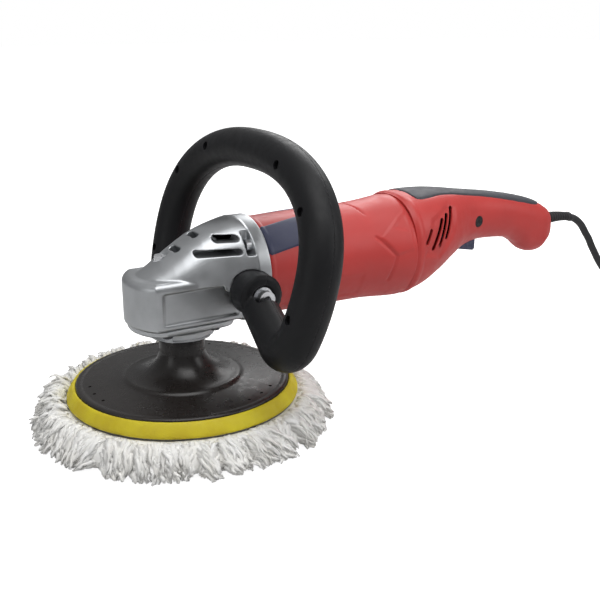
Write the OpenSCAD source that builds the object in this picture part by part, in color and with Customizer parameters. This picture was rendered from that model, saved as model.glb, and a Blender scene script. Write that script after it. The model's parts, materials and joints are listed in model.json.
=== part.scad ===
// Rotary polisher with a loop handle, standing on its wool pad.
// The origin is on the spindle axis in the plane that the wool stands on.
// +Z is up, +X runs from the gear head to the rear handle, -Y is the operator's left.

/* [Pad] */
// Diameter of the wool pad over its pile
wool_d = 237; // [225:1:245]
// Height of the wool pile under the backing pad
wool_h = 20; // [18:1:22]
// Outer diameter of the foam backing pad
foam_d = 180; // [176:1:184]
// Diameter of the moulded backing plate
plate_d = 165; // [160:1:170]
// Diameter of the backing plate's hub
hub_d = 35; // [32:1:38]

/* [Gear head] */
// Height of the motor axis above the floor
axis_z = 114; // [112:1:116]
// Width of the gear case across its flat sides
case_w = 60; // [58:1:62]
// Radius of the rounded nose about the spindle axis
nose_r = 43; // [41:0.2:45]
// Diameter of the motor flange
flange_d = 84; // [82:1:86]
// Rear face of the flange, behind the spindle axis
flange_x = 58; // [57:1:60]
// Teeth on the crown gear
crown_teeth = 38; // [38]
// Teeth on the pinion
pinion_teeth = 11; // [11]

/* [Motor] */
// Outer diameter of the motor housing at the flange
housing_d1 = 78; // [77:0.5:80]
// Outer diameter of the motor housing at its rear seam
housing_d2 = 87; // [86:0.5:88]
// Rear seam, behind the spindle axis
seam_x = 195; // [192:1:198]
// Diameter of the stator
stator_d = 72; // [71:0.5:72]

/* [Rear handle] */
// Wall thickness of the handle shells
shell_wall = 2.6; // [2.2:0.1:3]
// Swing of the trigger, in degrees
trigger_swing = 12; // [8:1:12]
// Travel of the lock-on button
lock_travel = 3; // [2:0.5:3]

/* [Loop handle] */
// Half width of the loop, to the middle of the tube
loop_w = 119; // [116:1:122]
// Height of the top of the loop, to the middle of the tube
loop_top = 205; // [202:1:208]
// Height at which the loop is widest
loop_mid = 125.5; // [124:0.5:127]
// Backward lean of the loop from upright, in degrees
loop_lean = 15; // [12:1:18]
// Diameter of the loop's tube
loop_d = 30.6; // [29:0.2:32]

/* [Cord] */
// Diameter of the mains cord
cord_d = 7; // [6.5:0.1:7.5]
// Diameter of the cord's coil at the middle of its turns
coil_d = 77; // [74:1:80]

/* [Hidden] */
$fn = 64;
run = 0.05;             // radial clearance of a running fit
gap = 0.3;              // clearance between bodies that move
foam_z0 = wool_h + 1;   // underside of the foam pad
foam_z1 = 32;           // top edge of the foam pad
plate_z0 = 27;
plate_z1 = 33.4;        // top of the plate's rim
hub_z = 67;             // top of the hub
collar_z = 68.5;        // bottom of the bearing cover's collar
case_z0 = 82;
case_z1 = 118;          // flat top of the nose
chamber_r = 25.4;
chamber_z0 = 91;
chamber_z1 = 111;
bearing_z0 = 79;
bearing_z1 = 90;
cover_hole = 19.5;      // the cover's screws stand at this X and Y
flange_t = 11;
flange_hole = [26.6, 24.4]; // the flange's screws, from the motor axis in Y and Z
spindle_r = 7.5;
pin_x = -11.5;          // the spindle lock's pin
pin_y = 5;
web_z = 103;            // top of the crown gear's web
lock_top = 131;         // top of the spindle lock's button
lock_drop = 4;          // how far the spindle lock is pressed

// Bevel gears: every tooth runs to the apex, where the two axes cross.
crown_r = 23;
pinion_r = crown_r * pinion_teeth / crown_teeth;
gear_out = 23.5;
gear_in = 16;
tooth_pitch = 2 * PI * crown_r / crown_teeth;
addendum = 1.05;
dedendum = 1.45;

trim_x = [flange_x + 0.5, 130];
trim_angle = 18;        // lower edge of the side inlay, above the motor axis
trim_sweep = 34;

shaft_r = 5;
core_r = 19;
core_x = [90, 138];
commutator_x = [152, 168];
commutator_r = 11;
brush_x = 160;
fan_x = 64;
fan_r = 30;
rear_wall_x = 178;
rear_bearing_x = [182, 189];

// Rear handle stations: X, top Z, bottom Z, half width
STATIONS = [
    [195, 159, 72, 43.5], [214, 160, 76, 41.5], [234, 159.5, 85, 36], [252, 157.5, 95, 29.5],
    [268, 155, 103, 23.5], [286, 152.5, 107, 19.5], [306, 149.5, 107, 18], [328, 145.5, 104.5, 17.5],
    [341, 142.5, 96, 17.5], [352, 139.5, 89, 17.5], [364, 135.5, 88.5, 17], [375, 130.5, 94, 15.5],
    [383, 126.5, 103, 12.5], [387, 124.5, 108, 9.5]];
handle_end = 387;
handle_n = 2.25;        // how square the handle's section is
grip_x = [222, 366];
grip_t = 1.2;
exit_z = 116;
relief_x = 417;
trigger_pivot = [262, 114];
trigger_x1 = 288;
trigger_w = 15;
lock_x = 280;
lock_z = 128;
lock_r = 5;
switch_z = [trigger_pivot[1] - 1.4 + (trigger_x1 - trigger_pivot[0]) * sin(trigger_swing), 138];

// Loop handle
loop_r = loop_d / 2;
loop_wall = 3;
split_gap = 0.02;       // between the halves of an arm
loop_x0 = 40.5;         // where the loop's plane crosses Z = 100
loop_n = 2.33;          // how square the loop's top is
loop_bow = 0.0049;      // how fast the legs draw in below their widest point
leg_end = 90;           // height of the foot of each leg
bend_r = 17;            // middle line of the bend from a leg to its arm
screw_s = [-0.88, -0.44, -0.2, 0.2, 0.44, 0.88];
function plane_x(z) = loop_x0 + (z - 100) * tan(loop_lean);
eye_z = 105;
eye_x = plane_x(eye_z);
eye_r = 17;
eye_y = [34.5, 56];
bolt_r = 4;
loop_steps = 26;

// Cord route where it is not coiled, chosen by hand
ROUTE = [
    [416, 0, 113.6], [423, 0, 111.2], [430, 0, 107], [436, 0, 101.5], [441, 0, 95], [446, -1, 88],
    [451, -1, 80], [456, -2, 72], [461, -3, 64], [467, -4, 56], [473, -6, 48], [479, -8, 40],
    [486, -10, 32], [494, -12, 24], [503, -14, 17], [513, -17, 11], [525, -20, 6.5], [538, -23, 4.2],
    [552, -27, 3.5], [566, -33, 3.5], [577, -41, 3.5]];
cord_r = cord_d / 2;
cord_sides = 10;
coil_c = [556, -82];    // centre of the coil on the floor
coil_rows = 3;
coil_layers = 3;
plug_at = [578, -44];
plug_z = coil_layers * cord_d;
plug_h = 17;

// ---------- helpers ----------

// Child turned so that its Z axis lies along X, raised to the motor axis
module on_motor(x = 0) { translate([x, 0, axis_z]) rotate([0, 90, 0]) children(); }

module rod_x(r, x0, x1) { on_motor(x0) cylinder(r = r, h = x1 - x0); }

module ring_x(ro, ri, x0, x1) {
    difference() {
        rod_x(ro, x0, x1);
        rod_x(ri, x0 - 1, x1 + 1);
    }
}

module rod_z(r, z0, z1) { translate([0, 0, z0]) cylinder(r = r, h = z1 - z0); }

module ring_z(ro, ri, z0, z1) {
    difference() {
        rod_z(ro, z0, z1);
        rod_z(ri, z0 - 1, z1 + 1);
    }
}

// Cylinder along Y, from y0 to y1
module rod_y(r, y0, y1) { translate([0, y0, 0]) rotate([-90, 0, 0]) cylinder(r = r, h = y1 - y0); }

module both_sides() {
    children();
    mirror([0, 1, 0]) children();
}

module box(lo, hi) { translate(lo) cube(hi - lo); }

function lerp(a, b, t) = a + (b - a) * t;
function smooth(t) = t * t * (3 - 2 * t);
function flat(rows) = [for (row = rows) for (p = row) p];

// Closed skin over rings that all have the same number of points
module skin(rings) {
    n = len(rings[0]);
    m = len(rings);
    sides = [for (i = [0:m - 2]) for (j = [0:n - 1])
        let (a = i * n + j, b = i * n + (j + 1) % n) each [[a, b + n, b], [a, a + n, b + n]]];
    polyhedron(points = flat(rings), faces = concat(
        sides, [[for (j = [0:n - 1]) j], [for (j = [n - 1:-1:0]) (m - 1) * n + j]]), convexity = 6);
}

// ---------- pad and spindle ----------

module wool_pad() {
    r = wool_d / 2;
    color("ivory") rotate_extrude($fn = 96) polygon([
        [0, 0], [r - 16, 0], [r - 6, 2], [r, 8], [r - 2, 14], [r - 10, 19], [r - 20, wool_h + 2],
        [foam_d / 2 + 2, wool_h + 1], [foam_d / 2 - 1, wool_h - 0.5], [0, wool_h - 0.5]]);
}

module hook_disc() { color("dimgray") rod_z(foam_d / 2 - 2, wool_h - 0.5, foam_z0, $fn = 96); }

module backing_foam() {
    r = foam_d / 2;
    color("gold") rotate_extrude($fn = 96) polygon([
        [0, foam_z0], [r - 1, foam_z0], [r, foam_z0 + 1.5], [plate_d / 2 + 2.5, foam_z1],
        [plate_d / 2, foam_z1], [plate_d / 2, plate_z0], [0, plate_z0]]);
}

module backing_plate() {
    r = plate_d / 2;
    h = hub_d / 2;
    color("black") difference() {
        rotate_extrude($fn = 96) polygon([
            [0, plate_z0], [r, plate_z0], [r, plate_z1 - 0.8], [r - 1, plate_z1], [r - 20, plate_z1 + 0.8],
            [41, 36.5], [39.5, 37.5], [36, 37.5], [28, 40.5], [22, 45.5], [h + 0.8, 51], [h, 55], [h, hub_z],
            [0, hub_z]]);
        rod_z(12, 34, hub_z - 3);
        rod_z(7, 30, hub_z + 1);
    }
}

module hub_insert() { color("silver") ring_z(12, 7, 34, hub_z - 3); }

module spindle() {
    color("silver") {
        rod_z(7, 34, hub_z);
        rod_z(10, hub_z, bearing_z0);
        rod_z(spindle_r, bearing_z0, 107);
        rod_z(shaft_r, 107, 121);
    }
}

// One tooth in the plane across the cone, with its pitch point at height -pitch
module tooth(pitch, root_w, tip_w, up) {
    linear_extrude(height = gear_out - gear_in, scale = gear_in / gear_out) scale(gear_out / crown_r)
        polygon([[-root_w / 2, -pitch - up * dedendum], [root_w / 2, -pitch - up * dedendum],
            [tip_w / 2, -pitch + up * addendum], [-tip_w / 2, -pitch + up * addendum]]);
}

module crown_gear() {
    k = gear_out / crown_r;
    z_out = axis_z - (pinion_r + dedendum) * k;
    z_in = axis_z - (pinion_r + dedendum) * gear_in / crown_r;
    color("slategray") {
        difference() {
            rotate_extrude($fn = 96) polygon([
                [0, 96], [gear_out - 1, 96], [gear_out, 97], [gear_out, z_out + 0.2],
                [gear_in, z_in + 0.2], [gear_in - 1, z_in], [gear_in - 1, web_z], [0, web_z]]);
            rod_z(spindle_r, 90, 110);
            for (a = [0:45:315]) rotate(a) translate([pin_x, pin_y, 95]) cylinder(r = 2.4, h = 10);
        }
        ring_z(10, spindle_r, bearing_z1 + 0.6, 96);
        for (i = [0:crown_teeth - 1]) rotate((i + 0.5) * 360 / crown_teeth)
            translate([gear_out, 0, axis_z]) rotate([90, 0, -90]) tooth(pinion_r, 2, 0.95, 1);
    }
}

// ---------- gear head ----------

module nose_outline(r, w) {
    intersection() {
        circle(r = r, $fn = 96);
        square([2 * r, w], center = true);
    }
}

// Thin slice of the dome over the gears: an arch of the given half width and top
module dome_slice(x, half, top, foot) {
    corner = min(half - 1, top - foot - 1, 22);
    translate([x, 0, 0]) rotate([90, 0, 90]) linear_extrude(1) hull() {
        translate([-half, foot]) square([2 * half, 1]);
        for (s = [-1, 1]) translate([s * (half - corner), top - corner]) circle(r = corner, $fn = 32);
    }
}

module gear_case() {
    color("silver") difference() {
        union() {
            translate([0, 0, case_z0]) linear_extrude(case_z1 - case_z0) {
                nose_outline(nose_r, case_w);
                translate([0, -case_w / 2]) square([flange_x - flange_t, case_w]);
            }
            hull() {
                dome_slice(-25, 22, 122, case_z1 - 4);
                dome_slice(0, 26, 136.5, case_z1 - 4);
                dome_slice(18, 28, 149.5, case_z1 - 4);
                dome_slice(flange_x - flange_t, 35, axis_z + 41.8, case_z1 - 4);
            }
            rod_x(flange_d / 2, flange_x - flange_t, flange_x);
            at_eyes() rod_y(13, 20, eye_y[0]);
        }
        rod_z(22, case_z0 - 1, chamber_z0);
        rod_z(chamber_r, chamber_z0, chamber_z1);
        rod_z(7, chamber_z1 - 1, 122);
        rod_x(11, 10, 41);
        rod_x(13, 40, 49);
        rod_x(34, 49, flange_x + 1);
        // air duct over the bearing, and its slots
        box([20, -20, 131], [50, 20, 146]);
        for (slot = [[6, 135], [26, 144]]) translate([0, 0, slot[1]]) hull()
            for (x = [slot[0], 36]) translate([x, 0, 0]) rod_y(2.2, -45, 45);
        // pockets for the upper flange screws
        both_sides() box([40.7, 22, 132], [flange_x - flange_t, 45, 149]);
        at_eyes() {
            rod_y(bolt_r, 24, eye_y[0] + 1);
            rod_y(6 + gap, eye_y[0], eye_y[1]);
        }
        for (y = [-1, 1]) for (z = [-1, 1])
            translate([0, y * flange_hole[0], z * flange_hole[1]])
                rod_x(2.5, flange_x - flange_t - 1, flange_x + 1);
        // pockets for the lower flange screws
        both_sides() box([38, 22, 80], [flange_x - flange_t, 45, 94]);
        for (a = [45:90:315]) rotate(a) translate([cover_hole * sqrt(2), 0, 0])
            rod_z(2, case_z0 - 1, case_z0 + 9);
        // guide of the spindle lock
        translate([pin_x, pin_y, 0]) {
            rod_z(2.2, 100, 125);
            rod_z(6, 119, 140);
        }
    }
}

module bearing_cover() {
    color("silver") difference() {
        union() {
            hull() {
                translate([0, 0, case_z0 - 1]) linear_extrude(1) nose_outline(nose_r - 3, case_w - 2);
                rod_z(25, 76, 77);
            }
            rod_z(25, collar_z, 77);
            rod_z(22, case_z0 - 1, chamber_z0 - 0.4);
        }
        rod_z(10 + gap, collar_z - 1, bearing_z0 + 1);
        rod_z(17.5, bearing_z0, chamber_z0 + 1);
        for (a = [45:90:315]) rotate(a) translate([cover_hole * sqrt(2), 0, 0]) {
            rod_z(2, 60, case_z0 + 1);
            rod_z(4, 60, 77);
        }
    }
}

module cover_screws() {
    color("dimgray") for (a = [45:90:315]) rotate(a) translate([cover_hole * sqrt(2), 0, 0]) {
        rod_z(2, 76, case_z0 + 8.5);
        rod_z(3.6, 74, 77);
    }
}

module spindle_bearing() { color("lightgray") ring_z(17.5, spindle_r + run, bearing_z0, bearing_z1); }

module spindle_bush() { color("darkgoldenrod") ring_z(7, shaft_r + run, chamber_z1, 121.5); }

module front_bearing() { color("lightgray") ring_x(13, shaft_r + run, 40.5, 48.5); }

module bearing_plate() { color("dimgray") ring_x(20, 8, 49, 51); }

module flange_screws() {
    x = flange_x - flange_t;
    color("silver") for (y = [-1, 1]) for (z = [-1, 1])
        translate([0, y * flange_hole[0], z * flange_hole[1]]) {
            difference() {
                rod_x(4.2, x - 4.5, x);
                on_motor(x - 5) cylinder(r = 2, h = 3, $fn = 6);
            }
            rod_x(2.5, x, flange_x + 16);
        }
}

module baffle_ring() {
    color([0.12, 0.12, 0.13]) difference() {
        ring_x(37, 24, flange_x, flange_x + 2);
        for (y = [-1, 1]) for (z = [-1, 1])
            translate([0, y * flange_hole[0], z * flange_hole[1]])
                rod_x(2.5 + gap, flange_x - 1, flange_x + 3);
    }
}

module spindle_lock() {
    color("dimgray") translate([pin_x, pin_y, 0]) {
        rod_z(1.9, web_z + lock_drop - 0.5, 124);
        rod_z(5.6, 125.5, lock_top);
        rod_z(1.9, 123, 126);
    }
}

module spindle_lock_spring() {
    color("silver") translate([pin_x, pin_y, 0]) ring_z(4.6, 3.4, 119.2, 125.3);
}

// ---------- motor ----------

// Outer radius of the housing at x: straight, then flaring to the seam
function housing_r(x) = x < 150 ? lerp(housing_d1 / 2, 40.6, (x - flange_x) / (150 - flange_x))
    : lerp(40.6, housing_d2 / 2, smooth((x - 150) / (seam_x - 150)));

module motor_housing() {
    xs = [flange_x, 90, 120, 150, 160, 170, 180, 188, seam_x];
    color("firebrick") difference() {
        union() {
            difference() {
                on_motor() rotate_extrude($fn = 96)
                    polygon([for (x = xs) [housing_r(x), x], [0, seam_x], [0, flange_x]]);
                rod_x(stator_d / 2, flange_x - 1, rear_wall_x);
                rod_x(housing_r(seam_x) - 3.2, rear_wall_x + 4, seam_x + 1);
            }
            rod_x(14, rear_wall_x, rear_bearing_x[1]);
            for (y = [-1, 1]) for (z = [-1, 1]) intersection() {
                translate([0, y * flange_hole[0], z * flange_hole[1]])
                    rod_x(5.2, flange_x + 2, flange_x + 18);
                rod_x(38.5, flange_x, flange_x + 20);
            }
        }
        rod_x(6, rear_wall_x - 1, seam_x);
        rod_x(11, rear_bearing_x[0], seam_x);
        for (y = [-1, 1]) for (z = [-1, 1])
            translate([0, y * flange_hole[0], z * flange_hole[1]]) rod_x(2.5, flange_x, flange_x + 16);
        ring_x(37, 30, flange_x - 1, flange_x + 2);
        for (a = [20:40:340]) translate([0, 0, axis_z]) rotate([a, 0, 0]) translate([0, 0, 25])
            rotate([0, 90, 0]) translate([0, 0, rear_wall_x - 1]) cylinder(r = 5, h = 8);
    }
}

// Thin inlays on both sides, a step proud of the housing
module side_trims() {
    color("midnightblue") for (start = [trim_angle, 180 - trim_angle - trim_sweep])
        on_motor() rotate([0, 0, 90 + start]) rotate_extrude(angle = trim_sweep, $fn = 96)
            polygon([for (x = [trim_x[0], trim_x[1]]) [housing_r(x), x],
                [housing_r(trim_x[1]) + 0.5, trim_x[1]], [housing_r(trim_x[0]) + 0.9, trim_x[0]]]);
}

module stator_core() {
    color("gray") difference() {
        rod_x(stator_d / 2, core_x[0], core_x[1]);
        rod_x(core_r + 0.8, core_x[0] - 1, core_x[1] + 1);
        both_sides() box([core_x[0] - 1, 16, axis_z - 11], [core_x[1] + 1, 29, axis_z + 11]);
    }
}

module field_coils() {
    color("peru") for (a = [0, 180]) translate([0, 0, axis_z]) rotate([a, 0, 0])
        for (x = [core_x[0] - 9, core_x[1] + 1]) translate([x, 0, 0]) rotate([0, 90, 0])
            rotate([0, 0, 125]) rotate_extrude(angle = 110) translate([22.5, 0]) square([9, 8]);
}

module brush_holders() {
    color("goldenrod") both_sides() difference() {
        union() {
            box([brush_x - 5.5, 15, axis_z - 4.5], [brush_x + 5.5, 33, axis_z + 4.5]);
            box([brush_x - 9, 31, axis_z - 6], [brush_x + 9, 33, axis_z + 6]);
        }
        box([brush_x - 4, 14, axis_z - 3], [brush_x + 4, 31.5, axis_z + 3]);
    }
}

module brushes() {
    color([0.2, 0.2, 0.2]) both_sides()
        box([brush_x - 4, commutator_r + 0.3, axis_z - 3], [brush_x + 4, commutator_r + 12, axis_z + 3]);
}

module brush_springs() {
    color("silver") both_sides() translate([brush_x, 0, axis_z]) difference() {
        rod_y(2.4, commutator_r + 12, 31.5);
        rod_y(1.6, commutator_r + 11, 33);
    }
}

module rear_bearing() {
    color("lightgray") ring_x(11, 4 + run, rear_bearing_x[0], rear_bearing_x[1]);
}

module armature_shaft() {
    color("silver") {
        rod_x(3, 12, 30);
        rod_x(shaft_r, 30, 176);
        rod_x(4, 176, 191);
    }
}

module armature_core() {
    color("gray") difference() {
        rod_x(core_r, core_x[0], core_x[1]);
        rod_x(shaft_r, core_x[0] - 1, core_x[1] + 1);
        for (a = [0:30:330]) translate([0, 0, axis_z]) rotate([a, 0, 0])
            box([core_x[0] - 1, -1.4, core_r - 7], [core_x[1] + 1, 1.4, core_r + 1]);
    }
}

module armature_windings() {
    color("peru") {
        ring_x(17.5, shaft_r, core_x[0] - 8, core_x[0]);
        ring_x(17.5, shaft_r, core_x[1], core_x[1] + 9);
        for (a = [0:30:330]) translate([0, 0, axis_z]) rotate([a, 0, 0])
            box([core_x[0], -1.4, core_r - 7], [core_x[1], 1.4, core_r - 1.6]);
    }
}

module commutator() { color("chocolate") ring_x(commutator_r, shaft_r, commutator_x[0], commutator_x[1]); }

module fan() {
    color("darkslategray") {
        ring_x(9, shaft_r, fan_x, fan_x + 12);
        ring_x(fan_r, 8, fan_x + 10, fan_x + 12);
        for (a = [0:30:330]) translate([0, 0, axis_z]) rotate([a, 0, 0])
            box([fan_x, -0.9, 8], [fan_x + 11, 0.9, fan_r - 1]);
    }
}

module pinion() {
    k = gear_out / crown_r;
    root = pinion_r - dedendum;
    color("slategray") {
        difference() {
            on_motor(gear_in) cylinder(r1 = (root + 0.1) * gear_in / crown_r, r2 = (root + 0.1) * k,
                h = gear_out - gear_in);
            rod_x(3, gear_in - 1, gear_out + 1);
        }
        ring_x(6.2, 3, gear_out, 30);
        for (i = [0:pinion_teeth - 1]) translate([gear_out, 0, axis_z])
            rotate([i * 360 / pinion_teeth, 0, 0]) rotate([90, 0, -90]) tooth(pinion_r, 1.9, 0.6, -1);
    }
}

module pinion_nut() {
    color("silver") difference() {
        on_motor(12.2) cylinder(r = 4.6, h = gear_in - 12.3, $fn = 6);
        rod_x(3, 11, gear_in);
    }
}

// ---------- rear handle ----------

// The station before x, and x's place between it and the next
function station(x, i = 0) = i >= len(STATIONS) - 2 || x < STATIONS[i + 1][0] ? i : station(x, i + 1);

// Catmull-Rom value of column c at x
function along(x, c) = let (
    i = station(x), last = len(STATIONS) - 1, x1 = STATIONS[i][0], x2 = STATIONS[i + 1][0],
    p0 = STATIONS[max(i - 1, 0)][c], p1 = STATIONS[i][c], p2 = STATIONS[i + 1][c],
    p3 = STATIONS[min(i + 2, last)][c], t = (x - x1) / (x2 - x1))
    0.5 * (2 * p1 + (p2 - p0) * t + (2 * p0 - 5 * p1 + 4 * p2 - p3) * t * t
        + (3 * p1 - p0 - 3 * p2 + p3) * t * t * t);

function rounded(c) = sign(c) * pow(abs(c), 2 / handle_n);

// Point of the handle's skin at x and angle a, moved inward by inset
function handle_point(x, a, inset) = let (
    top = along(x, 1), bottom = along(x, 2), half = along(x, 3), mid = (top + bottom) / 2)
    [x, (half - inset) * rounded(cos(a)), mid + ((top - bottom) / 2 - inset) * rounded(sin(a))];

handle_xs = concat([for (x = [seam_x:8:331]) x], [for (x = [336:5:381]) x], [384, handle_end]);

module handle_form(inset, xs) {
    skin([for (x = xs) [for (a = [0:360 / 36:359]) handle_point(x, a, inset)]]);
}

module handle_shell() {
    inner = concat([seam_x - 1], [for (x = handle_xs) if (x > seam_x && x < handle_end - 4) x]);
    color("firebrick") difference() {
        handle_form(0, handle_xs);
        handle_form(shell_wall, inner);
        box([seam_x - 1, 0, 60], [handle_end + 1, 50, 170]);
        // trigger slot
        box([trigger_pivot[0] - 4, -trigger_w / 2 - 0.6, 90], [trigger_x1 + 3.5, 1, 113.5]);
        // cord exit
        translate([0, 0, exit_z - axis_z]) rod_x(4.5, handle_end - 8, handle_end + 1);
        children();
    }
}

module air_slots() {
    for (i = [0:3]) translate([212 + 9.5 * i, -60, 111 + 5 * i]) rotate([0, 12, 0])
        box([-1.6, 0, -11], [1.6, 40, 11]);
}

module handle_shell_left() {
    handle_shell() {
        air_slots();
        translate([lock_x, 0, lock_z]) rod_y(lock_r + gap, -30, -10);
    }
}

module handle_shell_right() {
    mirror([0, 1, 0]) handle_shell() {
        air_slots();
        screw_places() rod_y(3.6, -60, -12);
    }
}

module screw_places() {
    for (p = [[206, 146], [206, 88], [300, 128], [345, 112]]) translate([p[0], 0, p[1]]) children();
}

module handle_screws() {
    color("dimgray") screw_places() {
        rod_y(3.2, 11, 13);
        rod_y(1.7, -12, 11);
    }
}

module soft_grip() {
    xs = concat([for (x = [grip_x[0]:8:grip_x[1]]) x]);
    arc = [for (a = [62:4:118]) a];
    color([0.16, 0.16, 0.18]) skin([for (x = xs) concat(
        [for (a = arc) handle_point(x, a, -0.05)],
        [for (i = [len(arc) - 1:-1:0]) handle_point(x, arc[i], -grip_t)])]);
}

module switch_body() {
    color([0.15, 0.15, 0.16]) difference() {
        box([262, -10, switch_z[0]], [294, 10, switch_z[1]]);
        translate([lock_x, 0, lock_z]) rod_y(2.4, -11, -6);
    }
}

module trigger() {
    px = trigger_pivot[0];
    pz = trigger_pivot[1];
    color("midnightblue") difference() {
        translate([0, trigger_w / 2, 0]) rotate([90, 0, 0]) linear_extrude(trigger_w) union() {
            translate([px, pz]) circle(r = 3);
            polygon([[px - 2, pz - 2], [px + 1, pz - 8], [px + 8, 101.5], [trigger_x1 - 2, 98.5],
                [trigger_x1, 100], [trigger_x1, 111.8], [px, pz - 0.5]]);
        }
        translate([px, 0, pz]) rod_y(1.5 + run, -10, 10);
    }
}

module trigger_pin() {
    color("silver") translate([trigger_pivot[0], 0, trigger_pivot[1]]) rod_y(1.5, -12, 12);
}

module lock_button() {
    color([0.13, 0.13, 0.14]) translate([lock_x, 0, lock_z]) {
        rod_y(lock_r, -along(lock_x, 3) + 0.8, -10 - lock_travel - gap);
        rod_y(2, -14, -10 + gap);
    }
}

module cord_clamp() {
    color("dimgray") difference() {
        box([355, -9, exit_z + cord_r], [363, 9, exit_z + cord_r + 4]);
        for (y = [-6.5, 6.5]) translate([359, y, 0]) rod_z(1.5, exit_z, exit_z + 12);
    }
}

module clamp_screws() {
    color("silver") for (y = [-6.5, 6.5]) translate([359, y, 0]) {
        rod_z(1.5, exit_z - 6, exit_z + cord_r + 4);
        rod_z(2.8, exit_z + cord_r + 4, exit_z + cord_r + 6);
    }
}

// Points of the strain relief's middle line: straight, then bending down at its tip
function relief_mid(t) =
    [lerp(handle_end - 10, relief_x, t), 0, exit_z - 2.4 * pow(max(0, (t - 0.35) / 0.65), 2)];

module strain_relief() {
    color([0.14, 0.14, 0.15]) union() {
        skin([for (i = [0:12]) let (t = i / 12,
                r = t < 0.22 ? 4.4 : lerp(5.8, 4.7, smooth((t - 0.22) / 0.78)),
                lean = t < 0.35 ? 0 : 14 * (t - 0.35) / 0.65)
            [for (a = [0:18:342])
                relief_mid(t) + [-r * sin(a) * sin(lean), r * cos(a), r * sin(a) * cos(lean)]]]);
        translate([0, 0, exit_z - axis_z]) rod_x(6.5, handle_end - 13, handle_end - 10);
    }
}

// ---------- loop handle ----------

across = [cos(loop_lean), 0, -sin(loop_lean)];

// The middle line of half the loop, as [Y, Z]: a squarish arch from the top (s = 0), then a leg
// that draws in to its foot (s = 1)
function loop_yz(s) = let (a = 90 * min(1, s / 0.7), down = max(0, (s - 0.7) / 0.3) * (loop_mid - leg_end))
    a < 90 ? [loop_w * pow(sin(a), 2 / loop_n), loop_mid + (loop_top - loop_mid) * pow(cos(a), 2 / loop_n)]
    : [loop_w - loop_bow * down * down, loop_mid - down];
function on_loop(p, side) = [plane_x(p[1]), side * p[0], p[1]];
function unit(v) = v / norm(v);
function left(d) = [-d[1], d[0]];

// From the foot the tube bends inward and runs straight to the eye
foot = loop_yz(1);
foot_way = unit([2 * loop_bow * (loop_mid - leg_end), 1]);
foot_angle = atan2(foot_way[1], foot_way[0]);
bend_c = foot + bend_r * left(foot_way);
arm_start = [(eye_y[0] + eye_y[1]) / 2, eye_z - 3];
arm_way = bend_c - arm_start;
arm_angle = atan2(arm_way[1], arm_way[0]) - asin(bend_r / norm(arm_way));
bend = [for (i = [0:6]) let (a = lerp(arm_angle, foot_angle, i / 6))
    bend_c - bend_r * left([cos(a), sin(a)])];
arm = [for (t = [0, 0.5]) lerp(arm_start, bend[0], t)];
half_loop = concat(arm, bend, [for (i = [loop_steps - 1:-1:0]) loop_yz(i / loop_steps)]);
half_r = [for (i = [0:len(half_loop) - 1]) loop_r * lerp(0.86, 1, min(1, i / 6))];
last = len(half_loop) - 1;
loop_path = concat([for (p = half_loop) on_loop(p, -1)],
    [for (i = [last - 1:-1:0]) on_loop(half_loop[i], 1)]);
loop_rs = concat(half_r, [for (i = [last - 1:-1:0]) half_r[i]]);
function path_way(p, i) = unit(p[min(i + 1, len(p) - 1)] - p[max(i - 1, 0)]);

// A little more than half of the loop's tube, as a channel: front = 1 is the half that faces the nose
module loop_channel(front) {
    skin([for (i = [0:len(loop_path) - 1]) let (way = path_way(loop_path, i),
            side = unit(cross(way, across)), r = loop_rs[i], in = r - loop_wall,
            section = concat([for (a = [-6:19.2:186]) [r * cos(a), r * sin(a)]],
                [for (a = [186:-32:-6]) [in * cos(a), in * sin(a)]]))
        [for (q = section) loop_path[i] + (side * q[0] - across * q[1]) * front]]);
}

module half_space(front) {
    translate([loop_x0, 0, 100]) rotate([0, loop_lean, 0])
        translate([front > 0 ? -200 : split_gap, -200, -200]) cube([200, 400, 400]);
}

module at_screw(s) {
    translate(on_loop(loop_yz(abs(s)), sign(s))) rotate([0, 90 + loop_lean, 0]) children();
}

module at_eyes() { both_sides() translate([eye_x, 0, eye_z]) children(); }

module loop_shell(front) {
    color([0.12, 0.12, 0.13]) difference() {
        intersection() {
            union() {
                loop_channel(front);
                at_eyes() {
                    rod_y(eye_r, eye_y[0], eye_y[1] - 3);
                    rod_y(eye_r - 3, eye_y[0], eye_y[1]);
                }
                for (s = screw_s) at_screw(s)
                    translate([0, 0, -loop_r + 2]) cylinder(r = 4.4, h = 2 * loop_r - 4);
            }
            half_space(front);
        }
        at_eyes() {
            rod_y(6, eye_y[0] - 1, eye_y[1] + 1);
            rod_y(9, eye_y[1] - 1.5, eye_y[1] + 9);
        }
        // room for the flange
        rod_x(flange_d / 2 + gap, flange_x - flange_t - gap, flange_x + 3);
        for (s = screw_s) at_screw(s) {
            translate([0, 0, -loop_r + 4]) cylinder(r = 1.6, h = loop_r + 6);
            translate([0, 0, -loop_r - 1]) cylinder(r = 3.4, h = 6);
        }
    }
}

module loop_front_shell() { loop_shell(1); }

module loop_rear_shell() { loop_shell(-1); }

module loop_screws() {
    color("dimgray") for (s = screw_s) at_screw(s) {
        translate([0, 0, -loop_r + 3]) cylinder(r = 3, h = 2);
        translate([0, 0, -loop_r + 5]) cylinder(r = 1.6, h = loop_r + 4);
    }
}

module loop_sleeves() {
    color("silver") at_eyes() difference() {
        rod_y(6, eye_y[0], eye_y[1] - 1.5);
        rod_y(bolt_r, eye_y[0] - 1, eye_y[1]);
    }
}

module loop_washers() {
    color("silver") at_eyes() difference() {
        rod_y(8, eye_y[1] - 1.5, eye_y[1]);
        rod_y(bolt_r, eye_y[1] - 2, eye_y[1] + 1);
    }
}

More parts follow.
